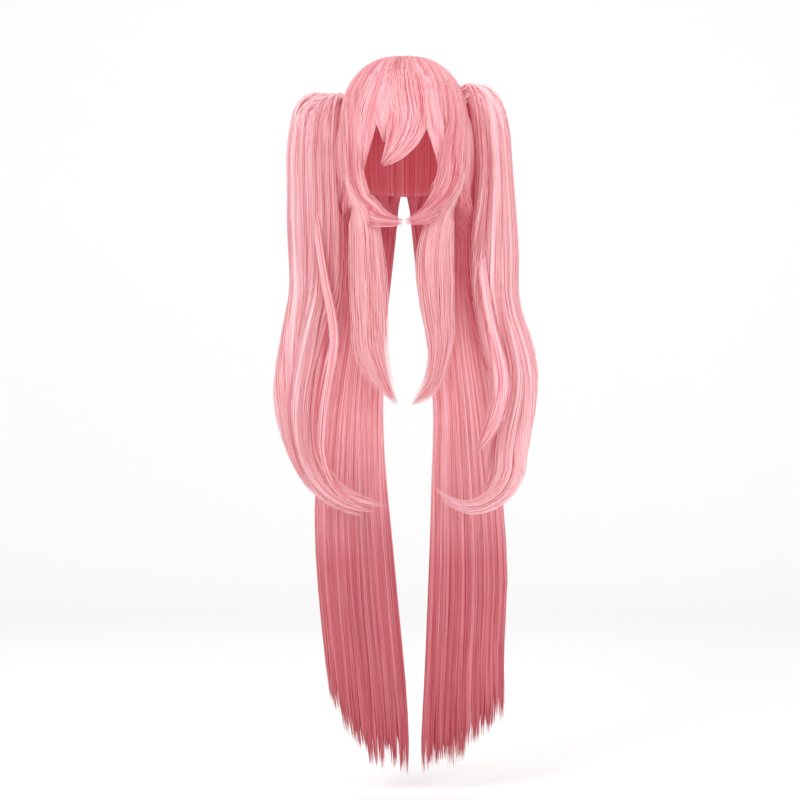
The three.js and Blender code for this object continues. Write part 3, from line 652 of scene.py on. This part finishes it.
def back_locks(back):
    """The locks of one fall of back hair, side by side between its inner and outer edges."""
    side, hang, locks = back["side"], back["hang"], back["locks"]
    count = len(locks["share"])
    leans = np.gradient(locks["end"]) * BACK_LOCK_OVERLAP / 2
    made = []
    for i, lean in enumerate(leans):
        share, around, start, end = (locks[name][i] for name in ("share", "around", "start", "end"))
        end = end + abs(lean)
        rows = dict(BACK_ON_CROWN)
        rows["down"] = start + (NAPE_DOWN - start) * rows["along"]
        rows["around"] = np.full(len(rows["along"]), side * around)
        at, facing, wide, thick, lift = on_crown(rows, *BACK_LOCK_SIZE)
        fall = -HEAD_HEIGHT - hang["drop"] * BACK_HAIR_HANG * end
        inner, outer = (
            np.stack([side * hang[edge] * CROWN_HALF_WIDTH, hang[depth] * CROWN_HALF_DEPTH, fall], -1)
            for edge, depth in (("inner", "in_back"), ("outer", "out_back"))
        )
        spread = outer - inner
        reach = np.linalg.norm(spread, axis=-1)
        out = unit(np.stack([-side * spread[:, 1], side * spread[:, 0], np.zeros(len(spread))], -1))
        bow = hang["bow"] * reach * 4 * share * (1 - share)
        made.append(
            Lock(
                np.vstack([at, inner + spread * share + out * bow[:, None]]),
                np.vstack([facing, out]),
                np.concatenate([wide, BACK_LOCK_OVERLAP * hang["wide"] * reach / count]),
                np.concatenate([thick, hang["thick"] * BACK_LOCK_SIZE[1]]),
                np.concatenate([lift, np.zeros(len(out))]),
                clings=len(wide),
            )
        )
        made[-1].lean = -side * lean / end
    return made


class Mesh:
    """Gathers the points, faces and attributes of one piece."""

    def __init__(self):
        self.points, self.faces, self.uvs, self.tones, self.count = [], [], [], [], 0

    def tubes(self, rings, uv, tone):
        """Adds closed tubes. Both arrays are (tubes, along, around), with a point or a uv in each place."""
        tubes, along, around, _ = rings.shape
        index = np.arange(tubes * along * around).reshape(tubes, along, around) + self.count
        a, b = index[:, :-1], index[:, 1:]
        a2, b2 = np.roll(a, -1, 2), np.roll(b, -1, 2)
        quads = np.stack([a, a2, b2, b], -1).reshape(-1, 4)
        self.points.append(rings.reshape(-1, 3))
        self.faces.append(quads)
        self.faces.append(index[:, 0, ::-1].reshape(tubes, around))
        self.faces.append(index[:, -1].reshape(tubes, around))
        self.uvs.append(uv.reshape(-1, 2))
        self.tones.append(np.broadcast_to(tone, (tubes, along, around)).reshape(-1))
        self.count += tubes * along * around

    def build(self, node, slot):
        """Makes the object that is shown in place of a solid."""
        name = node + "_locks"
        points = np.concatenate(self.points)
        mesh = bpy.data.meshes.new(name)
        sizes = np.concatenate([np.full(len(f), f.shape[1]) for f in self.faces])
        corners = np.concatenate([f.reshape(-1) for f in self.faces])
        mesh.vertices.add(len(points))
        mesh.vertices.foreach_set("co", points.astype(np.float32).reshape(-1))
        mesh.loops.add(len(corners))
        mesh.loops.foreach_set("vertex_index", corners.astype(np.int32))
        mesh.polygons.add(len(sizes))
        starts = np.concatenate([[0], np.cumsum(sizes)[:-1]])
        mesh.polygons.foreach_set("loop_start", starts.astype(np.int32))
        mesh.polygons.foreach_set("use_smooth", np.ones(len(sizes), bool))
        mesh.update(calc_edges=True)
        uv = mesh.uv_layers.new(name="hair")
        uv.data.foreach_set("uv", np.concatenate(self.uvs)[corners].astype(np.float32).reshape(-1))
        tone = mesh.attributes.new("tone", "FLOAT", "POINT")
        tone.data.foreach_set("value", np.concatenate(self.tones).astype(np.float32))
        mesh.validate()
        made = bpy.data.objects.new(name, mesh)
        bpy.context.scene.collection.objects.link(made)
        made.data.materials.append(HAIR[slot])
        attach(made, "root")
        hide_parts(node)


def smooth_noise(rng, count, along, knots):
    """Smooth random curves between -1 and 1: one row for each of count hairs."""
    values = rng.uniform(-1, 1, (knots, count))
    return column(values, np.linspace(0, 1, along)).T


def swept(centre, further, along, half_wide, half_thick, sides, origin):
    """Tubes with their middles at centre, flat towards further. The arrays are (tubes, along)."""
    out = unit(further - centre)
    ahead = np.gradient(centre, axis=1)
    side = unit(np.cross(ahead, out))
    out = unit(np.cross(side, ahead))
    angle = np.linspace(0, 2 * np.pi, sides, endpoint=False)
    turn = angle[None, None, :, None]
    rings = (
        centre[:, :, None]
        + side[:, :, None] * np.sin(turn) * half_wide[:, :, None, None]
        + out[:, :, None] * np.cos(turn) * half_thick[:, :, None, None]
    )
    girth = np.sin(angle) * 0.5
    u = origin[:, None, None] + girth * half_wide[:, :, None] * 2
    v = np.broadcast_to(along[:, :, None], u.shape)
    return rings, np.stack([u, v], -1)


# Waves round a lock's section, each with its number and its weight, and how far they drift along it
WAVES = ((3, 1.0), (5, 1.0), (8, 0.8))
WAVE_DRIFT = 2.2
# How much higher the hair stands on the ridges, in shares of a lock's half size
RELIEF = 0.09
# The step outwards from a hair that tells which way it faces
OUTWARDS = 0.08


def ridges(rng):
    """Ridges and valleys round a lock's section that wander along it, from 1 to -1."""
    waves = [(k, rng.uniform(0, 2 * np.pi), rng.uniform(-1, 1, 5), weight) for k, weight in WAVES]

    def relief(turn, t):
        total = sum(
            weight * np.cos(k * turn + start + WAVE_DRIFT * column(drift, t))
            for k, start, drift, weight in waves
        )
        return total / sum(weight for _, _, _, weight in waves)

    return relief


def on_lock(lock, t, turn, reach):
    """Places at turns round a lock's section and reaches from its middle, and places further out."""
    across, through = np.sin(turn), np.cos(turn)
    centre = lock.place(t, across * reach, through * reach)
    further = lock.place(t, across * (reach + OUTWARDS), through * (reach + OUTWARDS))
    if lock.gather is not None:
        centre, further = lock.gather(t, centre, further)
    return centre, further


# The hair of a pigtail starts inside its clip, rises from it and turns down into its lock at the join
JOIN = 0.22
IN_CLIP, UNDER_CLIP = 7 * MM, 8 * MM
CLIP_JITTER_MM = (2, 10, 10)
CLIP_LEAN = np.array([0.3, 0.2, 0])
CLIP_RISE, CLIP_BEND = 24 * MM, 32 * MM


def gathered(clip, side, rng):
    """Hair that fans out of a clip: before the join each arches from the clip to its place in the lock."""

    def fan(t, centre, further):
        """The same places, but on the way from the clip where t is before the join."""
        count = len(centre)
        share = np.clip(t / JOIN, 0, 1)[..., None]
        last = np.argmax(t >= JOIN, axis=1)
        landing = centre[np.arange(count), last][:, None]
        after = np.broadcast_to((last + 1)[:, None, None], (count, 1, 3))
        below = np.take_along_axis(centre, after, 1)
        jitter = rng.uniform(-1, 1, (count, 1, 3)) * np.array(CLIP_JITTER_MM) * MM
        start = clip + np.array([-side * IN_CLIP, 0, -UNDER_CLIP]) + jitter
        rise = start + (landing - start) * CLIP_LEAN
        rise[..., 2] += CLIP_RISE
        turned = landing + (landing - below)
        turned[..., 2] = start[..., 2] + CLIP_BEND
        rest = 1 - share
        path = start * rest**3 + 3 * rise * rest**2 * share
        path = path + 3 * turned * rest * share**2 + landing * share**3
        placed = np.where((t < JOIN)[..., None], path, centre)
        return placed, placed + (further - centre)

    return fan


# The inner form of a lock, painted dark as the shade inside the hair: its size and its ends in shares of
# the lock, and its tone
CORE_REACH, CORE_SHADE_TONE = 0.74, 0.3
CORE_AROUND, CORE_STEP = 16, 16 * MM
CORE_TAPER, CORE_TIP = 14, 0.08
CORE_START_IN_TAIL, CORE_END = 0.12, 0.96


def core(mesh, lock):
    """The inner form of a lock, a little inside its outline, painted dark as the shade inside the hair."""
    along = max(8, int(lock.length / CORE_STEP))
    share = np.linspace(0, 1, along)
    first = CORE_START_IN_TAIL if lock.gather else 0.0
    last = CORE_END - 2 * abs(lock.lean)
    t = first + (last - first) * share
    turn = np.linspace(0, 2 * np.pi, CORE_AROUND, endpoint=False)[::-1]
    t_all = np.broadcast_to(t[:, None], (along, CORE_AROUND))
    reach = CORE_REACH * np.minimum(1, np.minimum(share, 1 - share)[:, None] * CORE_TAPER + CORE_TIP)
    rings = lock.place(t_all, np.sin(turn) * reach, np.cos(turn) * reach)
    u = np.broadcast_to(turn / (2 * np.pi) * 0.1, (along, CORE_AROUND))
    uv = np.stack([u, t_all * lock.length], -1)
    mesh.tubes(rings[None], uv[None], CORE_SHADE_TONE)


def tapered(t, root, tip, least):
    """A share of full size along a hair: thin at the root and at the tip."""
    grow = np.clip(t / root, 0, 1) ** 0.5
    fade = np.clip((1 - t) / tip, 0, 1) ** 0.6
    return np.maximum(least, grow * fade)


def ends(lock, turn):
    """Where hairs at these turns end, as shares of a lock whose end leans to one side."""
    return 1 - abs(lock.lean) + lock.lean * np.sin(turn)


# Tones of the bundles, the single hairs and the hair on the crown: the middle one, how much lighter the
# ridges and darker the valleys are painted, as painted light and shade, and how far it differs from hair to
# hair
BUNDLE_TONE = (0.56, 0.3, 0.14)
HAIR_TONE = (0.58, 0.28, 0.2)
CROWN_TONE = (0.58, 0.12, 0.12)


def tones(tone, shade, hills, rng):
    """The tone along each hair: painted light on the ridges, painted shade in the valleys, and a random
    difference from hair to hair.
    """
    middle, ridge, spread = tone
    values = middle + shade + ridge * hills + spread * rng.uniform(-1, 1, (len(hills), 1))
    return values[..., None]


# How far out bundles and single hairs lie, in shares of a lock's half size, and by how much that varies
BUNDLE_REACH, HAIR_REACH, REACH_NOISE = 0.85, 0.97, 0.05
# How the sizes of bundles and single hairs vary, in shares of the usual one
BUNDLE_WIDTHS, BUNDLE_DEPTHS, HAIR_WIDTHS, CROWN_WIDTHS = (0.55, 1.45), (0.8, 1.2), (0.7, 1.3), (0.6, 1.4)
# The widest bundle, in shares of a lock's half width, and the narrowest, in shares of the widest
WIDEST_BUNDLE, NARROWEST_BUNDLE = 0.42, 0.3
HAIR_RADIUS, HAIR_SIDES = 0.42 * MM, 3
# How far the streaks of one hair may lie from those of the next
STREAK_SHIFT = 5


def clumps(
    mesh, lock, rng, relief, count, width, thickness, short, sides=5, step=14 * MM, tip=0.22, wander=0.3
):
    """Flat bundles of hair that make up the outside of a lock, each with its own pointed end."""
    along = max(10, int(lock.length / step))
    share = np.linspace(0, 1, along)[None]
    even = (np.arange(count)[:, None] + rng.uniform(-0.5, 0.5, (count, 1))) / count
    end = ends(lock, 2 * np.pi * even) * (1 - short * rng.random((count, 1)) ** 1.3)
    t = share * end
    turn = 2 * np.pi * even + wander * smooth_noise(rng, count, along, knots=5) * share
    turn = turn + rng.normal(0, 0.6 * wander, (count, 1)) * share**3 + lock.twist(t)
    hills = relief(turn, t)
    reach = BUNDLE_REACH + RELIEF * hills + REACH_NOISE * smooth_noise(rng, count, along, knots=6)
    shape = tapered(share, root=0.04, tip=tip, least=0.05)
    widest = lock.half_wide.max()
    fit = np.clip(np.sqrt(lock.read(lock.half_wide, t) / widest), NARROWEST_BUNDLE, 1)
    width = min(width, WIDEST_BUNDLE * widest)
    half_wide = width / 2 * rng.uniform(*BUNDLE_WIDTHS, (count, 1)) * shape * fit
    half_thick = thickness / 2 * rng.uniform(*BUNDLE_DEPTHS, (count, 1)) * shape * fit
    places = on_lock(lock, t, turn, reach)
    origin = rng.uniform(0, STREAK_SHIFT, count)
    rings, uv = swept(*places, t * lock.length, half_wide, half_thick, sides, origin)
    mesh.tubes(rings, uv, tones(BUNDLE_TONE, lock.shade, hills, rng))


def strands(mesh, lock, rng, relief, count, step, short, fly=0.0):
    """Single hairs on the outside of a lock. Some fly a little away from it towards their ends."""
    along = max(8, int(lock.length / step))
    share = np.linspace(0, 1, along)[None]
    start = 0.04 * rng.random((count, 1))
    turn = rng.uniform(-np.pi, np.pi, (count, 1))
    end = ends(lock, turn) * (1 - short * rng.random((count, 1)) ** 1.2)
    t = start + share * (end - start)
    turn = turn + 0.25 * smooth_noise(rng, count, along, knots=4) * share
    turn = turn + rng.normal(0, 0.2, (count, 1)) * share**2 + lock.twist(t)
    hills = relief(turn, t)
    reach = HAIR_REACH + RELIEF * hills + REACH_NOISE * smooth_noise(rng, count, along, knots=6)
    reach = reach + fly * rng.random((count, 1)) ** 3 * share
    shape = tapered(share, root=0.03, tip=0.25, least=0.15)
    half = HAIR_RADIUS * rng.uniform(*HAIR_WIDTHS, (count, 1)) * shape
    places = on_lock(lock, t, turn, reach)
    origin = rng.uniform(0, STREAK_SHIFT, count)
    rings, uv = swept(*places, t * lock.length, half, half, HAIR_SIDES, origin)
    mesh.tubes(rings, uv, tones(HAIR_TONE, lock.shade, hills, rng))


def hair_piece(node, locks, seed, slot, bundle, hair):
    """Locks with an inner form painted dark as shade, bundles round it and single hairs over them."""
    rng = np.random.default_rng(seed)
    mesh = Mesh()
    for lock in locks:
        relief = ridges(rng)
        core(mesh, lock)
        clumps(mesh, lock, rng, relief, **bundle)
        strands(mesh, lock, rng, relief, **hair)
    mesh.build(node, slot)


RIM_STEPS = 500
WINDOW_SPARE = 4 * MM


def rim_share(turn, size):
    """How far down the crown reaches at each turn before the face window or the rim ends it."""
    down = np.linspace(0, 1, RIM_STEPS)
    points = form_point(form_share(down)[:, None], turn[None], size)
    x, y, z = np.moveaxis(points, -1, 0)
    half = FACE_WINDOW_WIDTH / 2 + WINDOW_SPARE
    arch = -HAIRLINE_DROP - half + np.sqrt(np.maximum(half**2 - x**2, 0))
    window = (y < 0) & (np.abs(x) < half) & (z < arch)
    slope = (RIM_DROP_AT_NAPE - RIM_DROP_AT_FACE) / HEAD_DEPTH
    below = z < -(RIM_DROP_AT_FACE + RIM_DROP_AT_NAPE) / 2 - y * slope
    return down[np.argmax(window | below, axis=0)]


# The shell's tone is dark: painted shade under the crown's hair
SHELL_AROUND, SHELL_ALONG, SHELL_SHADE_TONE = 180, 26, 0.25
SHELL_SINK, LINING_CLEAR = 3 * MM, 0.4 * MM
# Hair at the sides hangs on below the rim, by up to this share of the crown's height, and its end is
# painted darker, as the shade beside the pigtails
SIDES_FROM, SIDE_HANG, SIDE_PAINTED_SHADE = 0.6, 0.3, 0.3
# Below this share of the crown's height its hair falls straight
STRAIGHT_DOWN = 0.72
# The bundles and the single hairs on the crown, each between two heights over it
CROWN_HAIR = (
    dict(heights=(-2.2 * MM, -0.6 * MM), count=230, width=8.5 * MM, thickness=3.4 * MM, sides=5, steps=20),
    dict(heights=(-0.4 * MM, 0.8 * MM), count=560, width=0.85 * MM, thickness=0.85 * MM, sides=3, steps=18),
)
# The narrowest hair at the top of the crown, in shares of the usual one
NARROWEST_ON_TOP = 0.12


def crown_shell(mesh):
    """The shell under the crown's hair, painted dark as the shade beneath it, with its lining round the
    head.
    """
    turn = np.linspace(0, 2 * np.pi, SHELL_AROUND, endpoint=False)[::-1]
    t = np.linspace(0.02, 1, SHELL_ALONG)[:, None]
    outer, inner = crown_size(-SHELL_SINK), head_size(LINING_CLEAR)
    skin = form_point(form_share(t * rim_share(turn, outer)), turn[None], outer)
    lining = form_point(form_share(t * rim_share(turn, inner)), turn[None], inner)[::-1]
    rings = np.concatenate([skin, lining])
    uv = np.stack([np.broadcast_to(turn / 10, rings.shape[:2]), -rings[..., 2]], -1)
    mesh.tubes(rings[None], uv[None], SHELL_SHADE_TONE)


def over_crown(mesh, rng, relief, heights, count, width, thickness, sides, steps):
    """Hair that falls over the crown on every side from the top."""
    share = np.linspace(0, 1, steps)[None]
    turn = 2 * np.pi * (np.arange(count)[:, None] + rng.uniform(-0.5, 0.5, (count, 1))) / count
    start = rng.uniform(0.0015, 0.02, (count, 1))
    end = rim_share(turn[:, 0], crown_size(0))[:, None] * rng.uniform(0.97, 1.0, (count, 1))
    hanging = np.clip(np.abs(np.sin(turn)) - SIDES_FROM, 0, SIDE_HANG) / SIDE_HANG
    end = end + hanging * rng.uniform(0, SIDE_HANG, (count, 1))
    down = start + (end - start) * share**1.3
    lift = rng.uniform(*heights, (count, 1)) + 0.5 * MM * smooth_noise(rng, count, steps, knots=6)
    turn = turn + 0.05 * smooth_noise(rng, count, steps, knots=4) * share
    place = form_share(np.minimum(down, STRAIGHT_DOWN))
    fall = np.maximum(down - STRAIGHT_DOWN, 0)[..., None] * np.array([0, 0, -HEAD_HEIGHT])
    centre = form_point(place, turn, crown_size(lift)) + fall
    further = form_point(place, turn, crown_size(lift + 2 * MM)) + fall
    bundled = sides > HAIR_SIDES
    fit = np.clip(column(HEAD_FORM["wide"], place), NARROWEST_ON_TOP, 1) if bundled else 1
    shape = tapered(share, root=0.03, tip=0.08, least=0.1)
    half = width / 2 * rng.uniform(*CROWN_WIDTHS, (count, 1)) * shape * fit
    thick = thickness / 2 * shape * np.sqrt(fit)
    origin = rng.uniform(0, STREAK_SHIFT, count)
    rings, uv = swept(centre, further, down * HEAD_HEIGHT, half, thick, sides, origin)
    # Painted shade on the hanging side hair, darker towards its end
    shade = -SIDE_PAINTED_SHADE * hanging * share**3
    mesh.tubes(rings, uv, tones(CROWN_TONE, shade, relief(turn, down), rng))


def crown_piece(node, seed, slot):
    """A hollow shell with bundles and single hairs over it."""
    rng = np.random.default_rng(seed)
    mesh = Mesh()
    crown_shell(mesh)
    relief = ridges(rng)
    for hair in CROWN_HAIR:
        over_crown(mesh, rng, relief, **hair)
    mesh.build(node, slot)


def new_material(name, inputs):
    """A material of one shader with constant inputs."""
    material = bpy.data.materials.new(name)
    material.use_nodes = True
    shader = material.node_tree.nodes["Principled BSDF"]
    for socket, value in inputs.items():
        shader.inputs[socket].default_value = value
    return material, material.node_tree, shader


def linked(tree, node_type, links=None, **values):
    """A new node. Its links are sockets to join to its inputs, or constants to set there."""
    node = tree.nodes.new(node_type)
    for name, value in values.items():
        setattr(node, name, value)
    for socket, value in (links or {}).items():
        if isinstance(value, bpy.types.NodeSocket):
            tree.links.new(value, node.inputs[socket])
        else:
            node.inputs[socket].default_value = value
    return node


def math_node(tree, operation, *inputs):
    return linked(tree, "ShaderNodeMath", dict(enumerate(inputs)), operation=operation).outputs[0]


def colours(tree, value, stops):
    """The colours of a ramp whose stops are places and colours."""
    node = linked(tree, "ShaderNodeValToRGB", {0: value})
    elements = node.color_ramp.elements
    elements.remove(elements[0])
    elements[0].position = stops[-1][0]
    elements[0].color = (*stops[-1][1], 1)
    for place, colour in stops[:-1]:
        elements.new(place).color = (*colour, 1)
    return node.outputs[0]


# The ramp's places of the dark, middle and light colour of the hair
TONE_STOPS = (0.38, 0.68, 1.0)
# How fine the streaks are across the hair and along it
STREAKS = ((1400, 3.0), (420, 1.5))
# The back hair's painted shade at depths below the top of the head, in metres: painted shade near the top
# behind the front locks and pigtails, none across a lit band, and darker towards the bottom
BACK_SHADE_BY_DEPTH = (
    (0.12, (0.76, 0.6, 0.63)),
    (0.2, (0.64, 0.42, 0.46)),
    (0.3, (0.68, 0.46, 0.5)),
    (0.41, (1, 1, 1)),
    (0.5, (1, 1, 1)),
    (0.7, (0.57, 0.35, 0.375)),
    (1.0, (0.42, 0.2, 0.215)),
)
HAIR_SURFACE = {
    "Roughness": 0.46,
    "Specular IOR Level": 0.15,
    "Specular Tint": (1, 0.66, 0.7, 1),
    # A faint pink glow painted into the hair, standing in for light that passes from hair to hair, so that
    # the gaps stay warm
    "Emission Color": (1, 0.07, 0.12, 1),
    "Emission Strength": 0.18,
}


def hair_material(name, *ramp, shaded_by_depth=False):
    """Fine streaks along the hair, a tone for each bundle that carries painted light and shade, and for the
    back hair a painted shade by depth.
    """
    material, tree, shader = new_material(name, HAIR_SURFACE)
    uv = linked(tree, "ShaderNodeUVMap", uv_map="hair").outputs["UV"]
    tone = linked(tree, "ShaderNodeAttribute", attribute_name="tone").outputs["Fac"]
    streaks = []
    for across, along in STREAKS:
        scaled = linked(tree, "ShaderNodeMapping", {"Vector": uv, "Scale": (across, along, 1)}).outputs[0]
        noise = linked(tree, "ShaderNodeTexNoise", {"Vector": scaled, "Scale": 1.0, "Detail": 2.0})
        streaks.append(noise.outputs[0])
    both = math_node(tree, "ADD", *streaks)
    toned = math_node(tree, "MULTIPLY_ADD", tone, 0.55, -0.55)
    colour = colours(tree, math_node(tree, "ADD", both, toned), list(zip(TONE_STOPS, ramp)))
    if shaded_by_depth:
        # The colour is multiplied by a painted shade that depends on depth below the head
        place = linked(tree, "ShaderNodeTexCoord").outputs["Object"]
        height = linked(tree, "ShaderNodeSeparateXYZ", {0: place}).outputs["Z"]
        depth = linked(tree, "ShaderNodeMapRange", {"Value": height, "From Max": -1.0})
        inputs = {"Fac": 1.0, "Color1": colour, "Color2": colours(tree, depth.outputs[0], BACK_SHADE_BY_DEPTH)}
        colour = linked(tree, "ShaderNodeMixRGB", inputs, blend_type="MULTIPLY").outputs[0]
    tree.links.new(colour, shader.inputs["Base Color"])
    bump = linked(tree, "ShaderNodeBump", {"Height": both, "Strength": 0.35, "Distance": 0.0006})
    tree.links.new(bump.outputs[0], shader.inputs["Normal"])
    return material


LIGHT = (0.68, 0.47, 0.48)
MIDDLE = (0.60, 0.3, 0.33)
DARK = (0.44, 0.09, 0.12)
TAIL_LIGHT = (0.7, 0.55, 0.565)
TAIL_MIDDLE = (0.66, 0.445, 0.465)
# The back hair's colours are painted lighter than the crown's, as painted light against the shade the
# pigtails cast on it
BACK_LIGHT = (0.79, 0.61, 0.63)
BACK_MIDDLE = (0.75, 0.465, 0.485)
HAIR = {
    "crown_hair": hair_material("crown_hair", DARK, MIDDLE, LIGHT),
    "front_hair": hair_material("front_hair", DARK, MIDDLE, LIGHT),
    "pigtail_hair": hair_material("pigtail_hair", DARK, TAIL_MIDDLE, TAIL_LIGHT),
    "back_hair": hair_material("back_hair", DARK, BACK_MIDDLE, BACK_LIGHT, shaded_by_depth=True),
}

# The clips keep their solids, in plain plastic with a fine grain
PLASTIC = {"Base Color": (0.48, 0.12, 0.15, 1), "Roughness": 0.4}
plastic, plastic_tree, plastic_shader = new_material("clip_plastic", PLASTIC)
on_clip = linked(plastic_tree, "ShaderNodeTexCoord").outputs["Object"]
grain = linked(plastic_tree, "ShaderNodeTexNoise", {"Vector": on_clip, "Scale": 400.0}).outputs[0]
grain_bump = linked(plastic_tree, "ShaderNodeBump", {"Height": grain, "Strength": 0.05})
plastic_tree.links.new(grain_bump.outputs[0], plastic_shader.inputs["Normal"])
for name in ("clip_right", "clip_left"):
    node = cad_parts[name]
    node.data.materials.clear()
    node.data.materials.append(plastic)


def front_lock(rows, size, shade):
    """The one lock of a piece at the face, on the head and then hanging."""
    on_head, hanging = rows
    lock = crown_lock(on_head, size, hanging)
    lock.shade = shade
    return [lock]


# Painted shade on the cheek locks and painted light on the forelocks
CHEEK_SHADE, FORELOCK_SHADE = -0.1, 0.38
# Each kind of lock: its slot, the seed of its first piece, its bundles, its single hairs and its pieces
KINDS = (
    (
        "front_hair",
        10,
        dict(count=64, width=3.6 * MM, thickness=1.8 * MM, short=0.24, wander=0.14),
        dict(count=160, step=14 * MM, short=0.16),
        {
            "fringe_middle": [crown_lock(FRINGE_MIDDLE, FRINGE_SIZE)],
            "fringe_wisp": [crown_lock(FRINGE_WISP, FRINGE_SIZE)],
            "fringe_right": [crown_lock(FRINGE_RIGHT, FRINGE_SIZE)],
            "fringe_left": [crown_lock(FRINGE_LEFT, FRINGE_SIZE)],
        },
    ),
    (
        "front_hair",
        20,
        dict(count=52, width=4 * MM, thickness=2 * MM, short=0.2, wander=0.2),
        dict(count=220, step=14 * MM, short=0.3, fly=0.6),
        {
            "cheek_lock_right": front_lock(CHEEK_RIGHT, CHEEK_SIZE, CHEEK_SHADE),
            "cheek_lock_left": front_lock(CHEEK_LEFT, CHEEK_SIZE, CHEEK_SHADE),
        },
    ),
    (
        "front_hair",
        30,
        dict(count=40, width=4.4 * MM, thickness=2.4 * MM, short=0.34, wander=0.5),
        dict(count=240, step=16 * MM, short=0.2, fly=1.2),
        {
            "forelock_right": front_lock(FORELOCK_RIGHT, FORELOCK_SIZE, FORELOCK_SHADE),
            "forelock_left": front_lock(FORELOCK_LEFT, FORELOCK_SIZE, FORELOCK_SHADE),
        },
    ),
    (
        "pigtail_hair",
        40,
        dict(count=36, width=5 * MM, thickness=3 * MM, short=0.14, step=18 * MM, sides=4),
        dict(count=84, step=26 * MM, short=0.2, fly=0.3),
        {"pigtail_right": pigtail_locks(PIGTAIL_RIGHT), "pigtail_left": pigtail_locks(PIGTAIL_LEFT)},
    ),
    (
        "back_hair",
        50,
        dict(count=44, width=5 * MM, thickness=2.8 * MM, short=0.06, step=28 * MM, sides=4, tip=0.09),
        dict(count=90, step=40 * MM, short=0.06),
        {"back_hair_right": back_locks(BACK_RIGHT), "back_hair_left": back_locks(BACK_LEFT)},
    ),
)
CROWN_SEED = 5
crown_piece("crown", CROWN_SEED, "crown_hair")
for slot, first_seed, bundle, hair, pieces in KINDS:
    for seed, (name, locks) in enumerate(pieces.items(), first_seed):
        hair_piece(name, locks, seed, slot, bundle, hair)

# The camera looks level along +Y
camera = bpy.data.objects.new("camera", bpy.data.cameras.new("camera"))
camera.data.sensor_width = 36
camera.data.lens = 96.4
camera.location = (-0.0056, -3.0, -0.468)
camera.rotation_euler = (math.radians(90), 0, 0)
camera.data.clip_end = 50
bpy.context.scene.collection.objects.link(camera)
bpy.context.scene.camera = camera

# A pale floor that turns up into a backdrop through a bend
FLOOR, FLOOR_WIDTH, FLOOR_FRONT = -1.03, 18.0, -6.0
BEND_START, BEND_RADIUS, BEND_STEPS = 2.6, 1.2, 16
BACKDROP_HEIGHT = 6.0
profile = [(FLOOR_FRONT, 0.0)]
for angle in np.linspace(0, math.pi / 2, BEND_STEPS):
    ahead = BEND_START + BEND_RADIUS * math.sin(angle)
    profile.append((ahead, BEND_RADIUS - BEND_RADIUS * math.cos(angle)))
profile.append((BEND_START + BEND_RADIUS, BACKDROP_HEIGHT))
points = [(x, y, FLOOR + z) for x in (-FLOOR_WIDTH / 2, FLOOR_WIDTH / 2) for y, z in profile]
faces = [(i, len(profile) + i, len(profile) + i + 1, i + 1) for i in range(len(profile) - 1)]
floor_mesh = bpy.data.meshes.new("floor")
floor_mesh.from_pydata(points, [], faces)
for polygon in floor_mesh.polygons:
    polygon.use_smooth = True
PAPER = {"Base Color": (0.93, 0.93, 0.93, 1), "Roughness": 0.9, "Specular IOR Level": 0.1}
floor_mesh.materials.append(new_material("floor", PAPER)[0])
floor = bpy.data.objects.new("floor", floor_mesh)
bpy.context.scene.collection.objects.link(floor)


def soft_light(name, place, aim, size, power):
    data = bpy.data.lights.new(name, "AREA")
    data.shape = "RECTANGLE"
    data.size, data.size_y = size
    data.energy = power
    made = bpy.data.objects.new(name, data)
    made.location = place
    toward = Vector(aim) - Vector(place)
    made.rotation_euler = toward.to_track_quat("-Z", "Y").to_euler()
    bpy.context.scene.collection.objects.link(made)


WIG_MIDDLE = (0, 0, -0.45)
soft_light("key", (-1.6, -2.6, 1.4), WIG_MIDDLE, (1.6, 1.6), 53)
soft_light("fill", (2.4, -2.2, 0.4), WIG_MIDDLE, (1.8, 2.2), 37)
soft_light("front", (0.3, -3.6, -0.7), (0, 0, -0.6), (2.0, 2.0), 34)
soft_light("top", (0, 0.4, 2.4), WIG_MIDDLE, (2.4, 2.4), 22)
world = bpy.data.worlds.new("world")
world.use_nodes = True
background = world.node_tree.nodes["Background"]
background.inputs["Color"].default_value = (1, 1, 1, 1)
background.inputs["Strength"].default_value = 0.75
bpy.context.scene.world = world
bpy.context.scene.view_settings.view_transform = "Standard"
